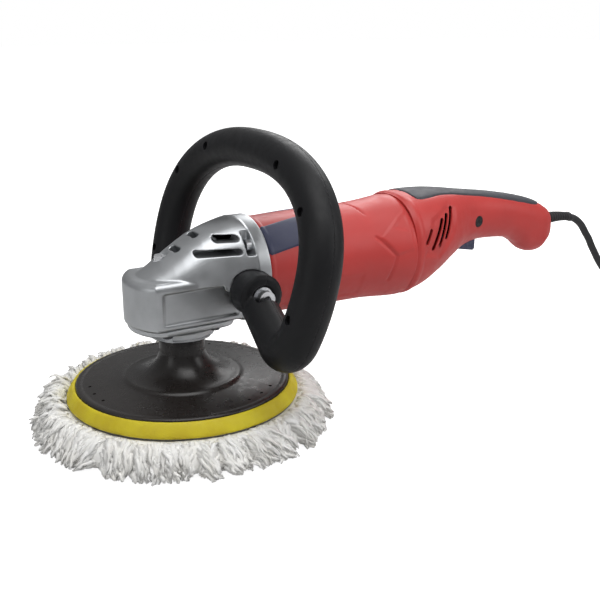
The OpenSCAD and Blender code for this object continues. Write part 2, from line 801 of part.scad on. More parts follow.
module loop_bolts() {
    color("silver") at_eyes() difference() {
        union() {
            rod_y(bolt_r, 25, eye_y[1] + 1);
            rod_y(6.5, eye_y[1], eye_y[1] + 6.5);
        }
        translate([0, eye_y[1] + 2.5, 0]) rotate([-90, 0, 0]) cylinder(r = 3.4, h = 5, $fn = 6);
    }
}

// ---------- cord ----------

// Catmull-Rom point of the route
function route_point(i, t) = let (n = len(ROUTE) - 1,
    p0 = ROUTE[max(i - 1, 0)], p1 = ROUTE[i], p2 = ROUTE[i + 1], p3 = ROUTE[min(i + 2, n)])
    0.5 * (2 * p1 + (p2 - p0) * t + (2 * p0 - 5 * p1 + 4 * p2 - p3) * t * t
        + (3 * p1 - p0 - 3 * p2 + p3) * t * t * t);

module cord() {
    n = len(ROUTE) - 1;
    path = concat([for (i = [0:n - 1]) route_point(i, 0)], [ROUTE[n]]);
    color([0.08, 0.08, 0.09]) skin([for (i = [0:len(path) - 1]) let (
            way = path_way(path, i), side = unit(cross([0, 0, 1], way)), up = cross(way, side))
        [for (j = [0:cord_sides - 1]) let (a = j * 360 / cord_sides)
            path[i] + cord_r * (side * cos(a) + up * sin(a))]]);
}

module cord_coil() {
    color([0.08, 0.08, 0.09]) translate([coil_c[0], coil_c[1], 0]) rotate_extrude($fn = 64)
        translate([coil_d / 2 - coil_rows * cord_r, 0]) square([coil_rows * cord_d, coil_layers * cord_d]);
}

module at_plug() { translate([plug_at[0], plug_at[1], plug_z + plug_h / 2]) children(); }

module plug_body() {
    color([0.1, 0.1, 0.11]) at_plug() {
        translate([0, 0, -plug_h / 2]) linear_extrude(plug_h) hull() {
            translate([14, -13]) square([4, 26]);
            translate([-8, 0]) circle(r = 12, $fn = 32);
        }
        translate([-38, 0, 0]) rotate([0, 90, 0]) cylinder(r1 = 4, r2 = 6, h = 24);
    }
}

module plug_pins() {
    color("goldenrod") at_plug() for (y = [-9.5, 9.5]) translate([18, y, 0]) rotate([0, 90, 0])
        cylinder(r = 2.4, h = 19);
}

wool_pad();
hook_disc();
backing_foam();
backing_plate();
hub_insert();
spindle();
crown_gear();
gear_case();
bearing_cover();
cover_screws();
spindle_bearing();
spindle_bush();
front_bearing();
bearing_plate();
flange_screws();
baffle_ring();
spindle_lock();
spindle_lock_spring();
motor_housing();
side_trims();
stator_core();
field_coils();
brush_holders();
brushes();
brush_springs();
rear_bearing();
armature_shaft();
armature_core();
armature_windings();
commutator();
fan();
pinion();
pinion_nut();
handle_shell_left();
handle_shell_right();
handle_screws();
soft_grip();
switch_body();
trigger();
trigger_pin();
lock_button();
cord_clamp();
clamp_screws();
strain_relief();
loop_front_shell();
loop_rear_shell();
loop_screws();
loop_sleeves();
loop_bolts();
loop_washers();
cord();
cord_coil();
plug_body();
plug_pins();
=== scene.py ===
"""Rotary polisher on its wool pad: the looks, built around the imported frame.

Lengths are in mm unless said. +X runs to the rear handle, +Y to the right side, Z = 0 is under the wool.
"""

import json
import math

import bmesh
import bpy
import numpy as np
from mathutils import Matrix, Vector, noise


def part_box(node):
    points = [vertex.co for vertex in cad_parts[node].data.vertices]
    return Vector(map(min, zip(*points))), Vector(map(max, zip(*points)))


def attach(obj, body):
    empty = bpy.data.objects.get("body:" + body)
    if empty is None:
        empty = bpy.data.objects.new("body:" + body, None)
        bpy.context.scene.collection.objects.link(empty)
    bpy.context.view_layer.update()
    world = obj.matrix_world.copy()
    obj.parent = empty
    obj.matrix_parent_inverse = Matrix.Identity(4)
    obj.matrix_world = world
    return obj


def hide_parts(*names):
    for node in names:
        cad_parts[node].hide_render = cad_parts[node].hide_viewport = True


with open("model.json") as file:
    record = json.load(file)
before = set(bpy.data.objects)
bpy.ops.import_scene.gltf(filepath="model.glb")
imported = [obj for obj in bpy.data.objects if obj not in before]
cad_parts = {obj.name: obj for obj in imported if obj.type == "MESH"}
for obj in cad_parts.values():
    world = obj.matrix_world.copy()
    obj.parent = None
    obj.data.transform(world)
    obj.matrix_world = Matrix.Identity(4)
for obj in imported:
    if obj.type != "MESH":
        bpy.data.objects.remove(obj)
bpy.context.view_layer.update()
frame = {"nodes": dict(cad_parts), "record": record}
MM = 0.001
TAU = 2 * math.pi


def box_mm(node):
    """Lowest and highest corner of a CAD node, in mm."""
    low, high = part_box(node)
    return np.array(low) / MM, np.array(high) / MM


# ---------- the frame's sizes ----------

FOAM_LOW, FOAM_HIGH = box_mm("backing_foam")
PLATE_LOW, PLATE_HIGH = box_mm("backing_plate")
AXIS_Z = 114.0  # motor axis, also the screws' and flange's centre
FLANGE_X = box_mm("motor_housing")[0][0]  # joint of gear head and motor housing
SEAM_X = box_mm("motor_housing")[1][0]  # joint of motor housing and rear handle

# ---------- mesh helpers ----------


def smooth(t):
    t = np.clip(t, 0.0, 1.0)
    return t * t * (3 - 2 * t)


def lerp(a, b, t):
    return a + (b - a) * t


def unit(v):
    return v / np.linalg.norm(v)


def angles(steps):
    return np.arange(steps) * TAU / steps


def bulge(value, n):
    """A sine or cosine bent so that a circle becomes a superellipse of power n."""
    return math.copysign(abs(value) ** (2 / n), value)


def mask(x, low, high, blend):
    """1 between low and high, falling to 0 over blend inside each end."""
    return smooth((x - low) / blend) * smooth((high - x) / blend)


def grid_faces(rows, cols, wrap):
    """Quads of a grid of points, row after row; wrap joins the last column to the first."""
    last = cols if wrap else cols - 1
    return [
        (i * cols + j, i * cols + (j + 1) % cols, (i + 1) * cols + (j + 1) % cols, (i + 1) * cols + j)
        for i in range(rows - 1)
        for j in range(last)
    ]


def make(name, verts, faces):
    """A new linked object from points in mm, with its faces turned outward."""
    mesh = bpy.data.meshes.new(name)
    mesh.from_pydata([tuple(v) for v in np.asarray(verts, float) * MM], [], faces)
    bm = bmesh.new()
    bm.from_mesh(mesh)
    bmesh.ops.recalc_face_normals(bm, faces=bm.faces)
    bm.to_mesh(mesh)
    bm.free()
    mesh.polygons.foreach_set("use_smooth", [True] * len(mesh.polygons))
    obj = bpy.data.objects.new(name, mesh)
    bpy.context.scene.collection.objects.link(obj)
    return obj


def loft(name, rings, wrap=False):
    """A closed skin over rings of equal point counts; wrap joins the last ring to the first."""
    rings = np.asarray(rings, float)
    rows, cols = rings.shape[:2]
    faces = grid_faces(rows, cols, True)
    if wrap:
        end = (rows - 1) * cols
        faces += [(end + j, end + (j + 1) % cols, (j + 1) % cols, j) for j in range(cols)]
    else:
        faces += [tuple(range(cols)), tuple(range((rows - 1) * cols, rows * cols))]
    return make(name, rings.reshape(-1, 3), faces)


def lathe(name, profile, steps, change=lambda r, z, a: (r, z)):
    """A closed turned solid round Z from (radius, height) points. change(r, z, angle) may move a point."""
    rings = []
    for r, z in profile:
        moved = [(*change(r, z, a), a) for a in angles(steps)]
        rings.append([(rr * math.cos(a), rr * math.sin(a), zz) for rr, zz, a in moved])
    return loft(name, rings, wrap=profile[0][0] > 1)


def rod(start, end, radius, steps=48):
    """A round bar between two points, as a helper solid."""
    start, end = np.array(start, float), np.array(end, float)
    way = unit(end - start)
    side = unit(np.cross(way, (0, 0, 1) if abs(way[2]) < 0.9 else (1, 0, 0)))
    up = np.cross(way, side)
    return loft("rod", [[point + radius * (side * math.cos(a) + up * math.sin(a)) for a in angles(steps)]
                        for point in (start, end)])


def round_z(radius, z, steps):
    """A level circle about the spindle axis."""
    return [(radius * math.cos(a), radius * math.sin(a), z) for a in angles(steps)]


def hole_y(x, z, y0, y1, radius, steps=48):
    """A bar along Y, to cut a hole with."""
    return rod((x, y0, z), (x, y1, z), radius, steps=steps)


def block(low, high):
    """A box between two corners, as a helper solid."""
    (x0, y0, z0), (x1, y1, z1) = low, high
    return loft("block", [[(x0, y0, z), (x1, y0, z), (x1, y1, z), (x0, y1, z)] for z in (z0, z1)])


def turned(obj, angle, pivot):
    """Turns a helper solid about an axis along Y through a pivot."""
    p = Vector(pivot) * MM
    obj.data.transform(Matrix.Translation(p) @ Matrix.Rotation(angle, 4, "Y") @ Matrix.Translation(-p))
    return obj


def apply_modifiers(obj):
    graph = bpy.context.evaluated_depsgraph_get()
    mesh = bpy.data.meshes.new_from_object(obj.evaluated_get(graph))
    obj.modifiers.clear()
    obj.data = mesh
    return obj


def combine(obj, others, operation):
    """Joins helper solids to obj or cuts them from it, and removes them."""
    for other in others:
        mod = obj.modifiers.new("join", "BOOLEAN")
        mod.operation, mod.solver, mod.object = operation, "MANIFOLD", other
        apply_modifiers(obj)
        bpy.data.objects.remove(other)
    return obj


def join(obj, *others):
    return combine(obj, others, "UNION")


def carve(obj, *others):
    return combine(obj, others, "DIFFERENCE")


def slot_y(start, end, y0, y1, radius, steps):
    """Cutter along Y for a slot with round ends, from one (x, z) point to another."""
    (x, z), way = start, Vector(end) - Vector(start)
    low, high = sorted((y0, y1))
    top = z + way.length
    slot = join(block((x - radius, low, z), (x + radius, high, top)), hole_y(x, z, low, high, radius, steps),
                hole_y(x, top, low, high, radius, steps))
    return turned(slot, math.atan2(*way), (x, 0, z))


def soften(obj, voxel, passes):
    """Remeshes obj at voxel mm and smooths it, so that every edge gets a cast or moulded radius."""
    mod = obj.modifiers.new("remesh", "REMESH")
    mod.mode, mod.voxel_size, mod.use_smooth_shade = "VOXEL", voxel * MM, True
    mod = obj.modifiers.new("smooth", "SMOOTH")
    mod.factor, mod.iterations = 0.5, passes
    return apply_modifiers(obj)


def sharpen(obj, angle):
    """Smooth shading, but with edges sharper than angle left crisp."""
    mesh = obj.data
    mesh.polygons.foreach_set("use_smooth", [True] * len(mesh.polygons))
    mesh.set_sharp_from_angle(angle=math.radians(angle))
    return obj


def points_of(obj):
    return np.array([v.co for v in obj.data.vertices]) / MM


def piece(obj, name, body, material, slot, *nodes):
    """Names a finished piece, gives it its material and body, and lets it stand for CAD nodes."""
    obj.name = name
    obj.data.materials.clear()
    obj.data.materials.append(material)
    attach(obj, body)
    if nodes:
        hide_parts(*nodes)
    return obj


# ---------- materials ----------


class Nodes:
    """Short calls for building a node tree."""

    def __init__(self, name):
        self.material = bpy.data.materials.new(name)
        self.material.use_nodes = True
        self.tree = self.material.node_tree
        self.tree.nodes.clear()
        self.shader = self.add("ShaderNodeBsdfPrincipled")
        out = self.add("ShaderNodeOutputMaterial")
        self.link(self.shader.outputs["BSDF"], out.inputs["Surface"])
        self.place = self.add("ShaderNodeTexCoord").outputs["Object"]

    def add(self, kind):
        return self.tree.nodes.new(kind)

    def link(self, a, b):
        self.tree.links.new(a, b)

    def noise(self, scale, detail=3.0, stretch=None):
        node = self.add("ShaderNodeTexNoise")
        node.inputs["Scale"].default_value = scale
        node.inputs["Detail"].default_value = detail
        place = self.place
        if stretch:
            mapping = self.add("ShaderNodeMapping")
            mapping.inputs["Scale"].default_value = stretch
            self.link(place, mapping.inputs["Vector"])
            place = mapping.outputs["Vector"]
        self.link(place, node.inputs["Vector"])
        return node.outputs["Fac"]

    def cells(self, scale):
        node = self.add("ShaderNodeTexVoronoi")
        node.inputs["Scale"].default_value = scale
        self.link(self.place, node.inputs["Vector"])
        return node.outputs["Distance"]

    def span(self, value, low, high, to_low, to_high):
        node = self.add("ShaderNodeMapRange")
        for name, number in zip(("From Min", "From Max", "To Min", "To Max"), (low, high, to_low, to_high)):
            node.inputs[name].default_value = number
        self.link(value, node.inputs["Value"])
        return node.outputs["Result"]

    def put(self, value, socket):
        """Sets a socket to a number or a colour, or links it."""
        if isinstance(value, (int, float, tuple)):
            socket.default_value = (*value, 1.0) if isinstance(value, tuple) else value
        else:
            self.link(value, socket)

    def math(self, operation, a, b):
        node = self.add("ShaderNodeMath")
        node.operation = operation
        self.put(a, node.inputs[0])
        self.put(b, node.inputs[1])
        return node.outputs["Value"]

    def mix(self, factor, a, b):
        node = self.add("ShaderNodeMix")
        node.data_type = "RGBA"
        for name, value in (("Factor", factor), ("A", a), ("B", b)):
            self.put(value, node.inputs[name])
        return node.outputs["Result"]

    def bump(self, height, depth, under=None):
        """A bump of depth mm from a height from 0 to 1."""
        node = self.add("ShaderNodeBump")
        node.inputs["Strength"].default_value = 1.0
        node.inputs["Distance"].default_value = depth * MM
        self.link(height, node.inputs["Height"])
        if under:
            self.link(under, node.inputs["Normal"])
        return node.outputs["Normal"]

    def finish(self, colour, roughness, normal, **fixed):
        for name, value in (("Base Color", colour), ("Roughness", roughness), ("Normal", normal)):
            self.link(value, self.shader.inputs[name])
        for name, value in fixed.items():
            self.shader.inputs[name.replace("_", " ")].default_value = value
        return self.material


def shade(colour, k):
    return tuple(min(1.0, c * k) for c in colour)


def moulded(name, colour, roughness, spread=0.1, grain=2600, depth=0.02, edge=0.35, **fixed):
    """Moulded plastic or rubber: faint cloudiness, fine spark-eroded grain, and paler rubbed edges."""
    n = Nodes(name)
    cloud = n.noise(28, 4)
    fine = n.noise(grain, 2)
    base = n.mix(n.span(cloud, 0.3, 0.7, 0, 1), shade(colour, 1 - spread), shade(colour, 1 + spread))
    pointed = n.add("ShaderNodeNewGeometry").outputs["Pointiness"]
    patches = n.span(n.noise(420, 3), 0.35, 0.65, 0, 1)
    rubbed = n.math("MULTIPLY", n.span(pointed, 0.53, 0.6, 0, edge), patches)
    base = n.mix(rubbed, base, tuple(lerp(c, 1.0, 0.12) for c in shade(colour, 1.3)))
    rough = n.span(n.noise(168, 5), 0.3, 0.7, roughness - 0.05, roughness + 0.07)
    return n.finish(base, rough, n.bump(fine, depth), **fixed)


def metal(name, colour, roughness, stretch=None, grain=900, depth=0.012, spread=0.07, tint=None,
          metallic=1.0):
    """Machined or cast metal: grain stretched along the cut, soft stains, rubbed edges, and painted shade
    that darkens its hollows.
    """
    n = Nodes(name)
    cloud = n.noise(45, 5)
    fine = n.noise(grain, 3, stretch)
    base = n.mix(n.span(cloud, 0.35, 0.7, 0, 1), shade(colour, 1 - spread), shade(colour, 1 + spread * 0.6))
    pointed = n.add("ShaderNodeNewGeometry").outputs["Pointiness"]
    base = n.mix(n.span(pointed, 0.52, 0.58, 0, 0.5), base, shade(colour, 1.25))
    # painted shade: the hollows, where pointiness is low, are darkened towards tint
    base = n.mix(n.span(pointed, 0.48, 0.42, 0, 0.6), base, tint or shade(colour, 0.55))
    rough = n.math("ADD", n.span(cloud, 0.3, 0.7, roughness - 0.04, roughness + 0.06),
                   n.span(fine, 0.3, 0.7, -0.03, 0.03))
    return n.finish(base, rough, n.bump(fine, depth), Metallic=metallic)


def wool_material():
    """Off-white lambswool: each lock has its own tint, with fine fibres along it and a soft sheen."""
    n = Nodes("wool_fleece")
    lock = n.add("ShaderNodeNewGeometry").outputs["Random Per Island"]
    base = n.mix(n.span(lock, 0, 1, 0, 1), (0.89, 0.88, 0.845), (0.96, 0.955, 0.94))
    base = n.mix(n.span(n.noise(60, 4), 0.45, 0.75, 0, 0.4), base, (0.82, 0.79, 0.72))
    rough = n.span(n.noise(300, 3), 0.3, 0.7, 0.85, 1.0)
    fibre = n.noise(2200, 4)
    return n.finish(base, rough, n.bump(fibre, 0.14), Sheen_Weight=0.35, Sheen_Roughness=0.6,
                    Specular_IOR_Level=0.15)


def foam_material():
    """Moulded polyurethane foam, yellow, with open pores darkened by painted shade, and a greener tone where
    it is denser.
    """
    n = Nodes("foam_yellow")
    base = n.mix(n.span(n.noise(38, 4), 0.35, 0.7, 0, 1), (0.55, 0.43, 0.008), (0.70, 0.60, 0.015))
    pores = n.cells(1500)
    # painted shade: each pore's hollow is darkened
    base = n.mix(n.span(pores, 0.0, 0.25, 0.35, 0), base, (0.45, 0.36, 0.01))
    rough = n.span(n.noise(200, 3), 0.3, 0.7, 0.5, 0.7)
    return n.finish(base, rough, n.bump(pores, 0.12, n.bump(n.noise(260, 4), 0.18)))


def cloth_material(name, colour):
    """Short hook pile, with painted shade in its hollows and a painted highlight on its tops."""
    n = Nodes(name)
    loops = n.cells(1400)
    # painted shade and highlight: the pile is darker where its bump is low and paler where it is high
    base = n.mix(n.span(loops, 0.1, 0.6, 0, 1), shade(colour, 0.5), shade(colour, 1.4))
    return n.finish(base, n.span(n.noise(500), 0.3, 0.7, 0.8, 1.0), n.bump(loops, 0.3), Sheen_Weight=0.3)


def wound(name, colour, stretch):
    """Varnished winding wire lying in turns, with painted shade between the turns and a painted highlight on
    their crests.
    """
    n = Nodes(name)
    turns = n.noise(500, 2, stretch)
    # painted shade and highlight: darker in the grooves between turns, paler on their crests
    base = n.mix(n.span(turns, 0.35, 0.65, 0, 1), shade(colour, 0.55), shade(colour, 1.15))
    return n.finish(base, n.span(n.noise(90), 0.3, 0.7, 0.25, 0.42), n.bump(turns, 0.25), Metallic=0.85)


wool = wool_material()
foam = foam_material()
hook = cloth_material("hook_pile", (0.10, 0.10, 0.105))
red = moulded("red_housing_plastic", (0.50, 0.036, 0.032), 0.42, spread=0.06, grain=1900, depth=0.018,
              edge=0.3)
navy = moulded("navy_inlay_plastic", (0.028, 0.034, 0.085), 0.44, spread=0.1, grain=2100, depth=0.02)
black = moulded("black_handle_plastic", (0.009, 0.0092, 0.0105), 0.46, spread=0.15, grain=1500,
                depth=0.04, edge=0.2, Specular_IOR_Level=0.22)
plate_black = moulded("black_plate_plastic", (0.018, 0.0152, 0.014), 0.29, spread=0.14, grain=1500,
                      depth=0.003, Specular_IOR_Level=0.4)
grip_rubber = moulded("soft_grip_rubber", (0.040, 0.041, 0.052), 0.58, spread=0.12, grain=1100, depth=0.09)
sheath = moulded("cord_sheath_rubber", (0.014, 0.014, 0.016), 0.55, spread=0.12, grain=900, depth=0.04)
carbon = moulded("brush_carbon", (0.035, 0.035, 0.036), 0.5, grain=1300, depth=0.05)
# the hollows of the casting are darkened to this grey tint: painted shade
cast = metal("cast_aluminium", (0.47, 0.485, 0.50), 0.36, grain=700, depth=0.03, spread=0.12,
             tint=(0.22, 0.225, 0.235), metallic=0.9)
steel = metal("machined_steel", (0.62, 0.63, 0.65), 0.26, (1, 1, 14))
gear_steel = metal("gear_steel", (0.34, 0.345, 0.36), 0.36)
blackened = metal("blackened_steel", (0.07, 0.07, 0.075), 0.42)
iron = metal("laminated_iron", (0.27, 0.27, 0.28), 0.46, (16, 1, 1), grain=700, depth=0.05)
bronze = metal("sintered_bronze", (0.60, 0.42, 0.20), 0.4)
brass = metal("stamped_brass", (0.76, 0.58, 0.26), 0.28)
copper = wound("wound_copper", (0.70, 0.33, 0.15), (1, 6, 6))
bars = metal("commutator_copper", (0.72, 0.38, 0.2), 0.3, (1, 12, 12), grain=260, depth=0.1)

CAD_FINISH = {
    "hook": hook, "steel": steel, "gear_steel": gear_steel, "bronze": bronze, "navy_plastic": navy,
    "black_plastic": black, "core_iron": iron, "copper": copper, "carbon": carbon, "brass": brass,
    "screw_black": blackened, "cast_alloy": cast, "cord_rubber": sheath, "red_plastic": red,
    "grip_rubber": grip_rubber, "plate": plate_black, "foam": foam, "wool": wool,
}
for part in frame["record"]["subparts"]:
    node = frame["nodes"][part["node"]]
    finish = bars if part["node"] == "commutator" else CAD_FINISH[part["material_slot"]]
    node.data.materials.clear()
    node.data.materials.append(finish)

# ---------- stage, camera and lights ----------

FAR = 9e3
floor = make("studio_floor", [(-FAR, -FAR, -0.3), (FAR, -FAR, -0.3), (FAR, FAR, -0.3), (-FAR, FAR, -0.3)],
             [(0, 1, 2, 3)])
n = Nodes("pale_floor")
pale = n.mix(n.span(n.noise(3, 2), 0.3, 0.7, 0, 1), (0.60, 0.60, 0.60), (0.63, 0.63, 0.63))
floor.data.materials.append(n.finish(
    pale, n.span(n.noise(9), 0.3, 0.7, 0.75, 0.85), n.bump(n.noise(40), 0.02),
    Specular_IOR_Level=0.1, Emission_Color=(1, 1, 1, 1)))
# the sweep is lit from behind: it looks white, and throws little light back on the machine
n.link(n.math("MULTIPLY", n.add("ShaderNodeLightPath").outputs["Is Camera Ray"], 0.9),
       n.shader.inputs["Emission Strength"])

CAMERA_AT = (-0.25929, -0.60948, 0.30231)
CAMERA_AZIMUTH, CAMERA_ELEVATION = -31.0, 17.53
camera_data = bpy.data.cameras.new("camera")
camera_data.lens, camera_data.sensor_width = 54.0, 36.0
camera = bpy.data.objects.new("camera", camera_data)
camera.location = CAMERA_AT
camera.rotation_euler = (math.radians(90 - CAMERA_ELEVATION), 0, math.radians(CAMERA_AZIMUTH))
bpy.context.scene.collection.objects.link(camera)
bpy.context.scene.camera = camera


def softbox(name, place, target, size, power):
    data = bpy.data.lights.new(name, "AREA")
    data.shape, data.size, data.size_y, data.energy = "RECTANGLE", size[0], size[1], power
    lamp = bpy.data.objects.new(name, data)
    lamp.location = place
    way = Vector(target) - Vector(place)
    lamp.rotation_euler = way.to_track_quat("-Z", "Y").to_euler()
    bpy.context.scene.collection.objects.link(lamp)


softbox("key_above", (0.1, -0.35, 1.3), (0.12, 0, 0.1), (1.3, 1.0), 12)
softbox("side_left", (-1.3, -0.2, 0.55), (0.05, 0, 0.12), (0.5, 0.9), 1.6)
softbox("back_right", (0.9, 0.8, 0.9), (0.15, 0, 0.12), (0.9, 0.6), 7)
softbox("side_right", (1.0, -0.9, 0.7), (0.1, 0, 0.08), (0.7, 0.7), 3.6)

world = bpy.data.worlds.new("studio")
world.use_nodes = True
bpy.context.scene.world = world
tree = world.node_tree
tree.nodes.clear()
add, link = tree.nodes.new, tree.links.new
height = add("ShaderNodeSeparateXYZ")
link(add("ShaderNodeTexCoord").outputs["Generated"], height.inputs[0])
ramp = add("ShaderNodeValToRGB")
horizon, zenith = ramp.color_ramp.elements
horizon.position, horizon.color = 0.0, (0.62, 0.62, 0.63, 1)
zenith.position, zenith.color = 0.8, (1, 1, 1, 1)
link(height.outputs["Z"], ramp.inputs["Fac"])
lit = add("ShaderNodeBackground")
lit.inputs["Strength"].default_value = 0.4
link(ramp.outputs["Color"], lit.inputs["Color"])
seen = add("ShaderNodeBackground")
seen.inputs["Color"].default_value = (1, 1, 1, 1)
choose = add("ShaderNodeMixShader")
link(add("ShaderNodeLightPath").outputs["Is Camera Ray"], choose.inputs["Fac"])
link(lit.outputs[0], choose.inputs[1])
link(seen.outputs[0], choose.inputs[2])
link(choose.outputs[0], add("ShaderNodeOutputWorld").inputs["Surface"])
bpy.context.scene.view_settings.view_transform = "Standard"

# ---------- cord ----------

CORD_R = 3.5
# The uncoiled stretch, the same points as in the part's source
ROUTE = [
    (416, 0, 113.6), (423, 0, 111.2), (430, 0, 107), (436, 0, 101.5), (441, 0, 95), (446, -1, 88),
    (451, -1, 80), (456, -2, 72), (461, -3, 64), (467, -4, 56), (473, -6, 48), (479, -8, 40),
    (486, -10, 32), (494, -12, 24), (503, -14, 17), (513, -17, 11), (525, -20, 6.5), (538, -23, 4.2),
    (552, -27, 3.5), (566, -33, 3.5), (577, -41, 3.5)]
COIL_LOW, COIL_HIGH = box_mm("cord_coil")
COIL_C = (COIL_LOW + COIL_HIGH)[:2] / 2
COIL_R = (COIL_HIGH - COIL_LOW)[0] / 2 - CORD_R  # middle line of the outermost turn
COIL_START = 62.9  # where the route meets the coil, in degrees
# Changes of row and layer, as (start and end of the turn's angle in degrees, rows inward, layers up)
STEPS = [(200, 360, 1, 0), (560, 720, 1, 0), (900, 1020, 0, 1), (1200, 1360, -1, 0), (1560, 1720, -1, 0),
         (1900, 2020, 0, 1), (2200, 2360, 1, 0), (2560, 2720, 1, 0), (2925, 3045, 0, 1)]
COIL_END = 3046


def coil_point(turn):
    row = sum(rows * smooth((turn - a) / (b - a)) for a, b, rows, _ in STEPS)
    layer = sum(layers * smooth((turn - a) / (b - a)) for a, b, _, layers in STEPS)
    r = COIL_R - 2 * CORD_R * row
    a = math.radians(COIL_START - turn)
    return np.array([COIL_C[0] + r * math.cos(a), COIL_C[1] + r * math.sin(a), CORD_R + 2 * CORD_R * layer])


plug_low, plug_high = box_mm("plug_body")
plug_half = (plug_high - plug_low) / 2
PLUG_TAIL = plug_low + plug_half * (0, 1, 1)  # where the cord goes in
coil = [coil_point(t) for t in np.arange(18, COIL_END, 18)]
TAIL_R = 32.0  # the last half turn, into the plug's sleeve
tail_c = PLUG_TAIL + (-7, -TAIL_R, 0)
tail = []
for turn in np.linspace(256, 94, 10):
    a = math.radians(turn)
    drop = lerp(coil[-1][2] - PLUG_TAIL[2], 0, smooth((256 - turn) / 150))
    tail.append(tail_c + (TAIL_R * math.cos(a), TAIL_R * math.sin(a), drop))
tail += [PLUG_TAIL, PLUG_TAIL + (4, 0, 0)]
cord_line = [np.array(p, float) for p in ROUTE] + coil + tail

curve = bpy.data.curves.new("mains_cord", "CURVE")
curve.dimensions, curve.bevel_depth, curve.bevel_resolution, curve.resolution_u = "3D", CORD_R * MM, 5, 3
spline = curve.splines.new("BEZIER")
spline.bezier_points.add(len(cord_line) - 1)
# free handles a third of the way to each neighbour keep the bends even
for k, (knot, p) in enumerate(zip(spline.bezier_points, cord_line)):
    back, on = cord_line[max(k - 1, 0)], cord_line[min(k + 1, len(cord_line) - 1)]
    way = unit(on - back)
    knot.handle_left_type = knot.handle_right_type = "FREE"
    knot.co = Vector(p * MM)
    knot.handle_left = Vector((p - way * np.linalg.norm(p - back) / 3) * MM)
    knot.handle_right = Vector((p + way * np.linalg.norm(on - p) / 3) * MM)
curve.use_fill_caps = True
mains_cord = bpy.data.objects.new("mains_cord", curve)
bpy.context.scene.collection.objects.link(mains_cord)
curve.materials.append(sheath)
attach(mains_cord, "machine")
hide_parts("cord", "cord_coil")

# Plug: a waisted grip with finger grooves, and a ribbed sleeve where the cord goes in
PLUG_SLEEVE = 24.0


def plug_ring(x, half_y, half_z, square):
    return [(x, PLUG_TAIL[1] + half_y * bulge(math.cos(a), square),
             PLUG_TAIL[2] + half_z * bulge(math.sin(a), square)) for a in angles(64)]


plug_rings = []
plug_length = 2 * plug_half[0]
for k in range(111):
    x = plug_length * k / 110
    if x < PLUG_SLEEVE:
        r = lerp(4.3, 6.0, x / PLUG_SLEEVE)
        if 3 < x < 21 and (x - 3) % 4.5 > 2.6:
            r -= 0.9
        plug_rings.append(plug_ring(plug_low[0] + x, r, r, 2))
    else:
        t = (x - PLUG_SLEEVE) / (plug_length - PLUG_SLEEVE)
        grow = smooth(t / 0.45) ** 0.6
        edge = smooth((t - 0.93) / 0.07)
        half_y = lerp(6.0, plug_half[1], grow) - 0.6 * edge
        half_z = lerp(6.0, plug_half[2], grow) - 0.8 * edge
        if 0.5 < t < 0.8 and math.sin((t - 0.5) / 0.3 * 3 * TAU) > 0.2:
            half_y -= 0.7
        plug_rings.append(plug_ring(plug_low[0] + x, half_y, half_z, 2 + 1.2 * grow))
plug = sharpen(loft("plug", plug_rings), 50)
piece(plug, "plug_grip", "machine", sheath, "cord_rubber", "plug_body")

# ---------- wool pad ----------

rng = np.random.default_rng(7)
WOOL_TOP = FOAM_LOW[2]


def lump(x, y, z, size, seed=0.0):
    """Smooth noise from -1 to 1 with lumps of about size mm."""
    return noise.noise(Vector((x / size + seed, y / size, z / size)))


def wool_core_change(r, z, a):
    x, y = r * math.cos(a), r * math.sin(a)
    k = smooth((r - 60) / 50)
    swell = 1.8 * lump(x, y, z * 2, 11) + 0.9 * lump(x, y, z * 2, 4, 9)
    low = 0.9 * abs(lump(x, y, 0, 6, 3)) if z < 3 and r > 1 else 0
    return r + swell * k, z + low + (0.7 * swell * k if z > 4 else 0)


# the core's profile from the middle of its top, out over the rim, to the middle of its face
WOOL_CORE = [(0.4, WOOL_TOP - 2), (60, WOOL_TOP - 2), (88, WOOL_TOP - 1.6), (93, WOOL_TOP - 0.5),
             (98, WOOL_TOP - 1.6), (103, WOOL_TOP - 4.5), (107, WOOL_TOP - 8.5), (109, WOOL_TOP - 13),
             (107.5, 4.2), (103, 1.6), (96, 0.7), (84, 0.4), (70, 0.4), (56, 0.4), (42, 0.4), (28, 0.4),
             (14, 0.4), (0.4, 0.4)]
core = lathe("wool_core", WOOL_CORE, 300, wool_core_change)

CLUMPS = 74
LOCKS = 4700
SEGMENTS = 6
SIDES = 3
REACH_R = 118.6  # the locks' tips stay inside this
RAISED = math.radians(105)  # the side where the pile has been brushed up
clump_at = (np.arange(CLUMPS) + rng.uniform(-0.35, 0.35, CLUMPS)) * TAU / CLUMPS
clump_reach = rng.normal(0, 1.9, CLUMPS)
clump_turn = rng.normal(0, 0.16, CLUMPS)
clump_lift = rng.uniform(-1.0, 1.0, CLUMPS)
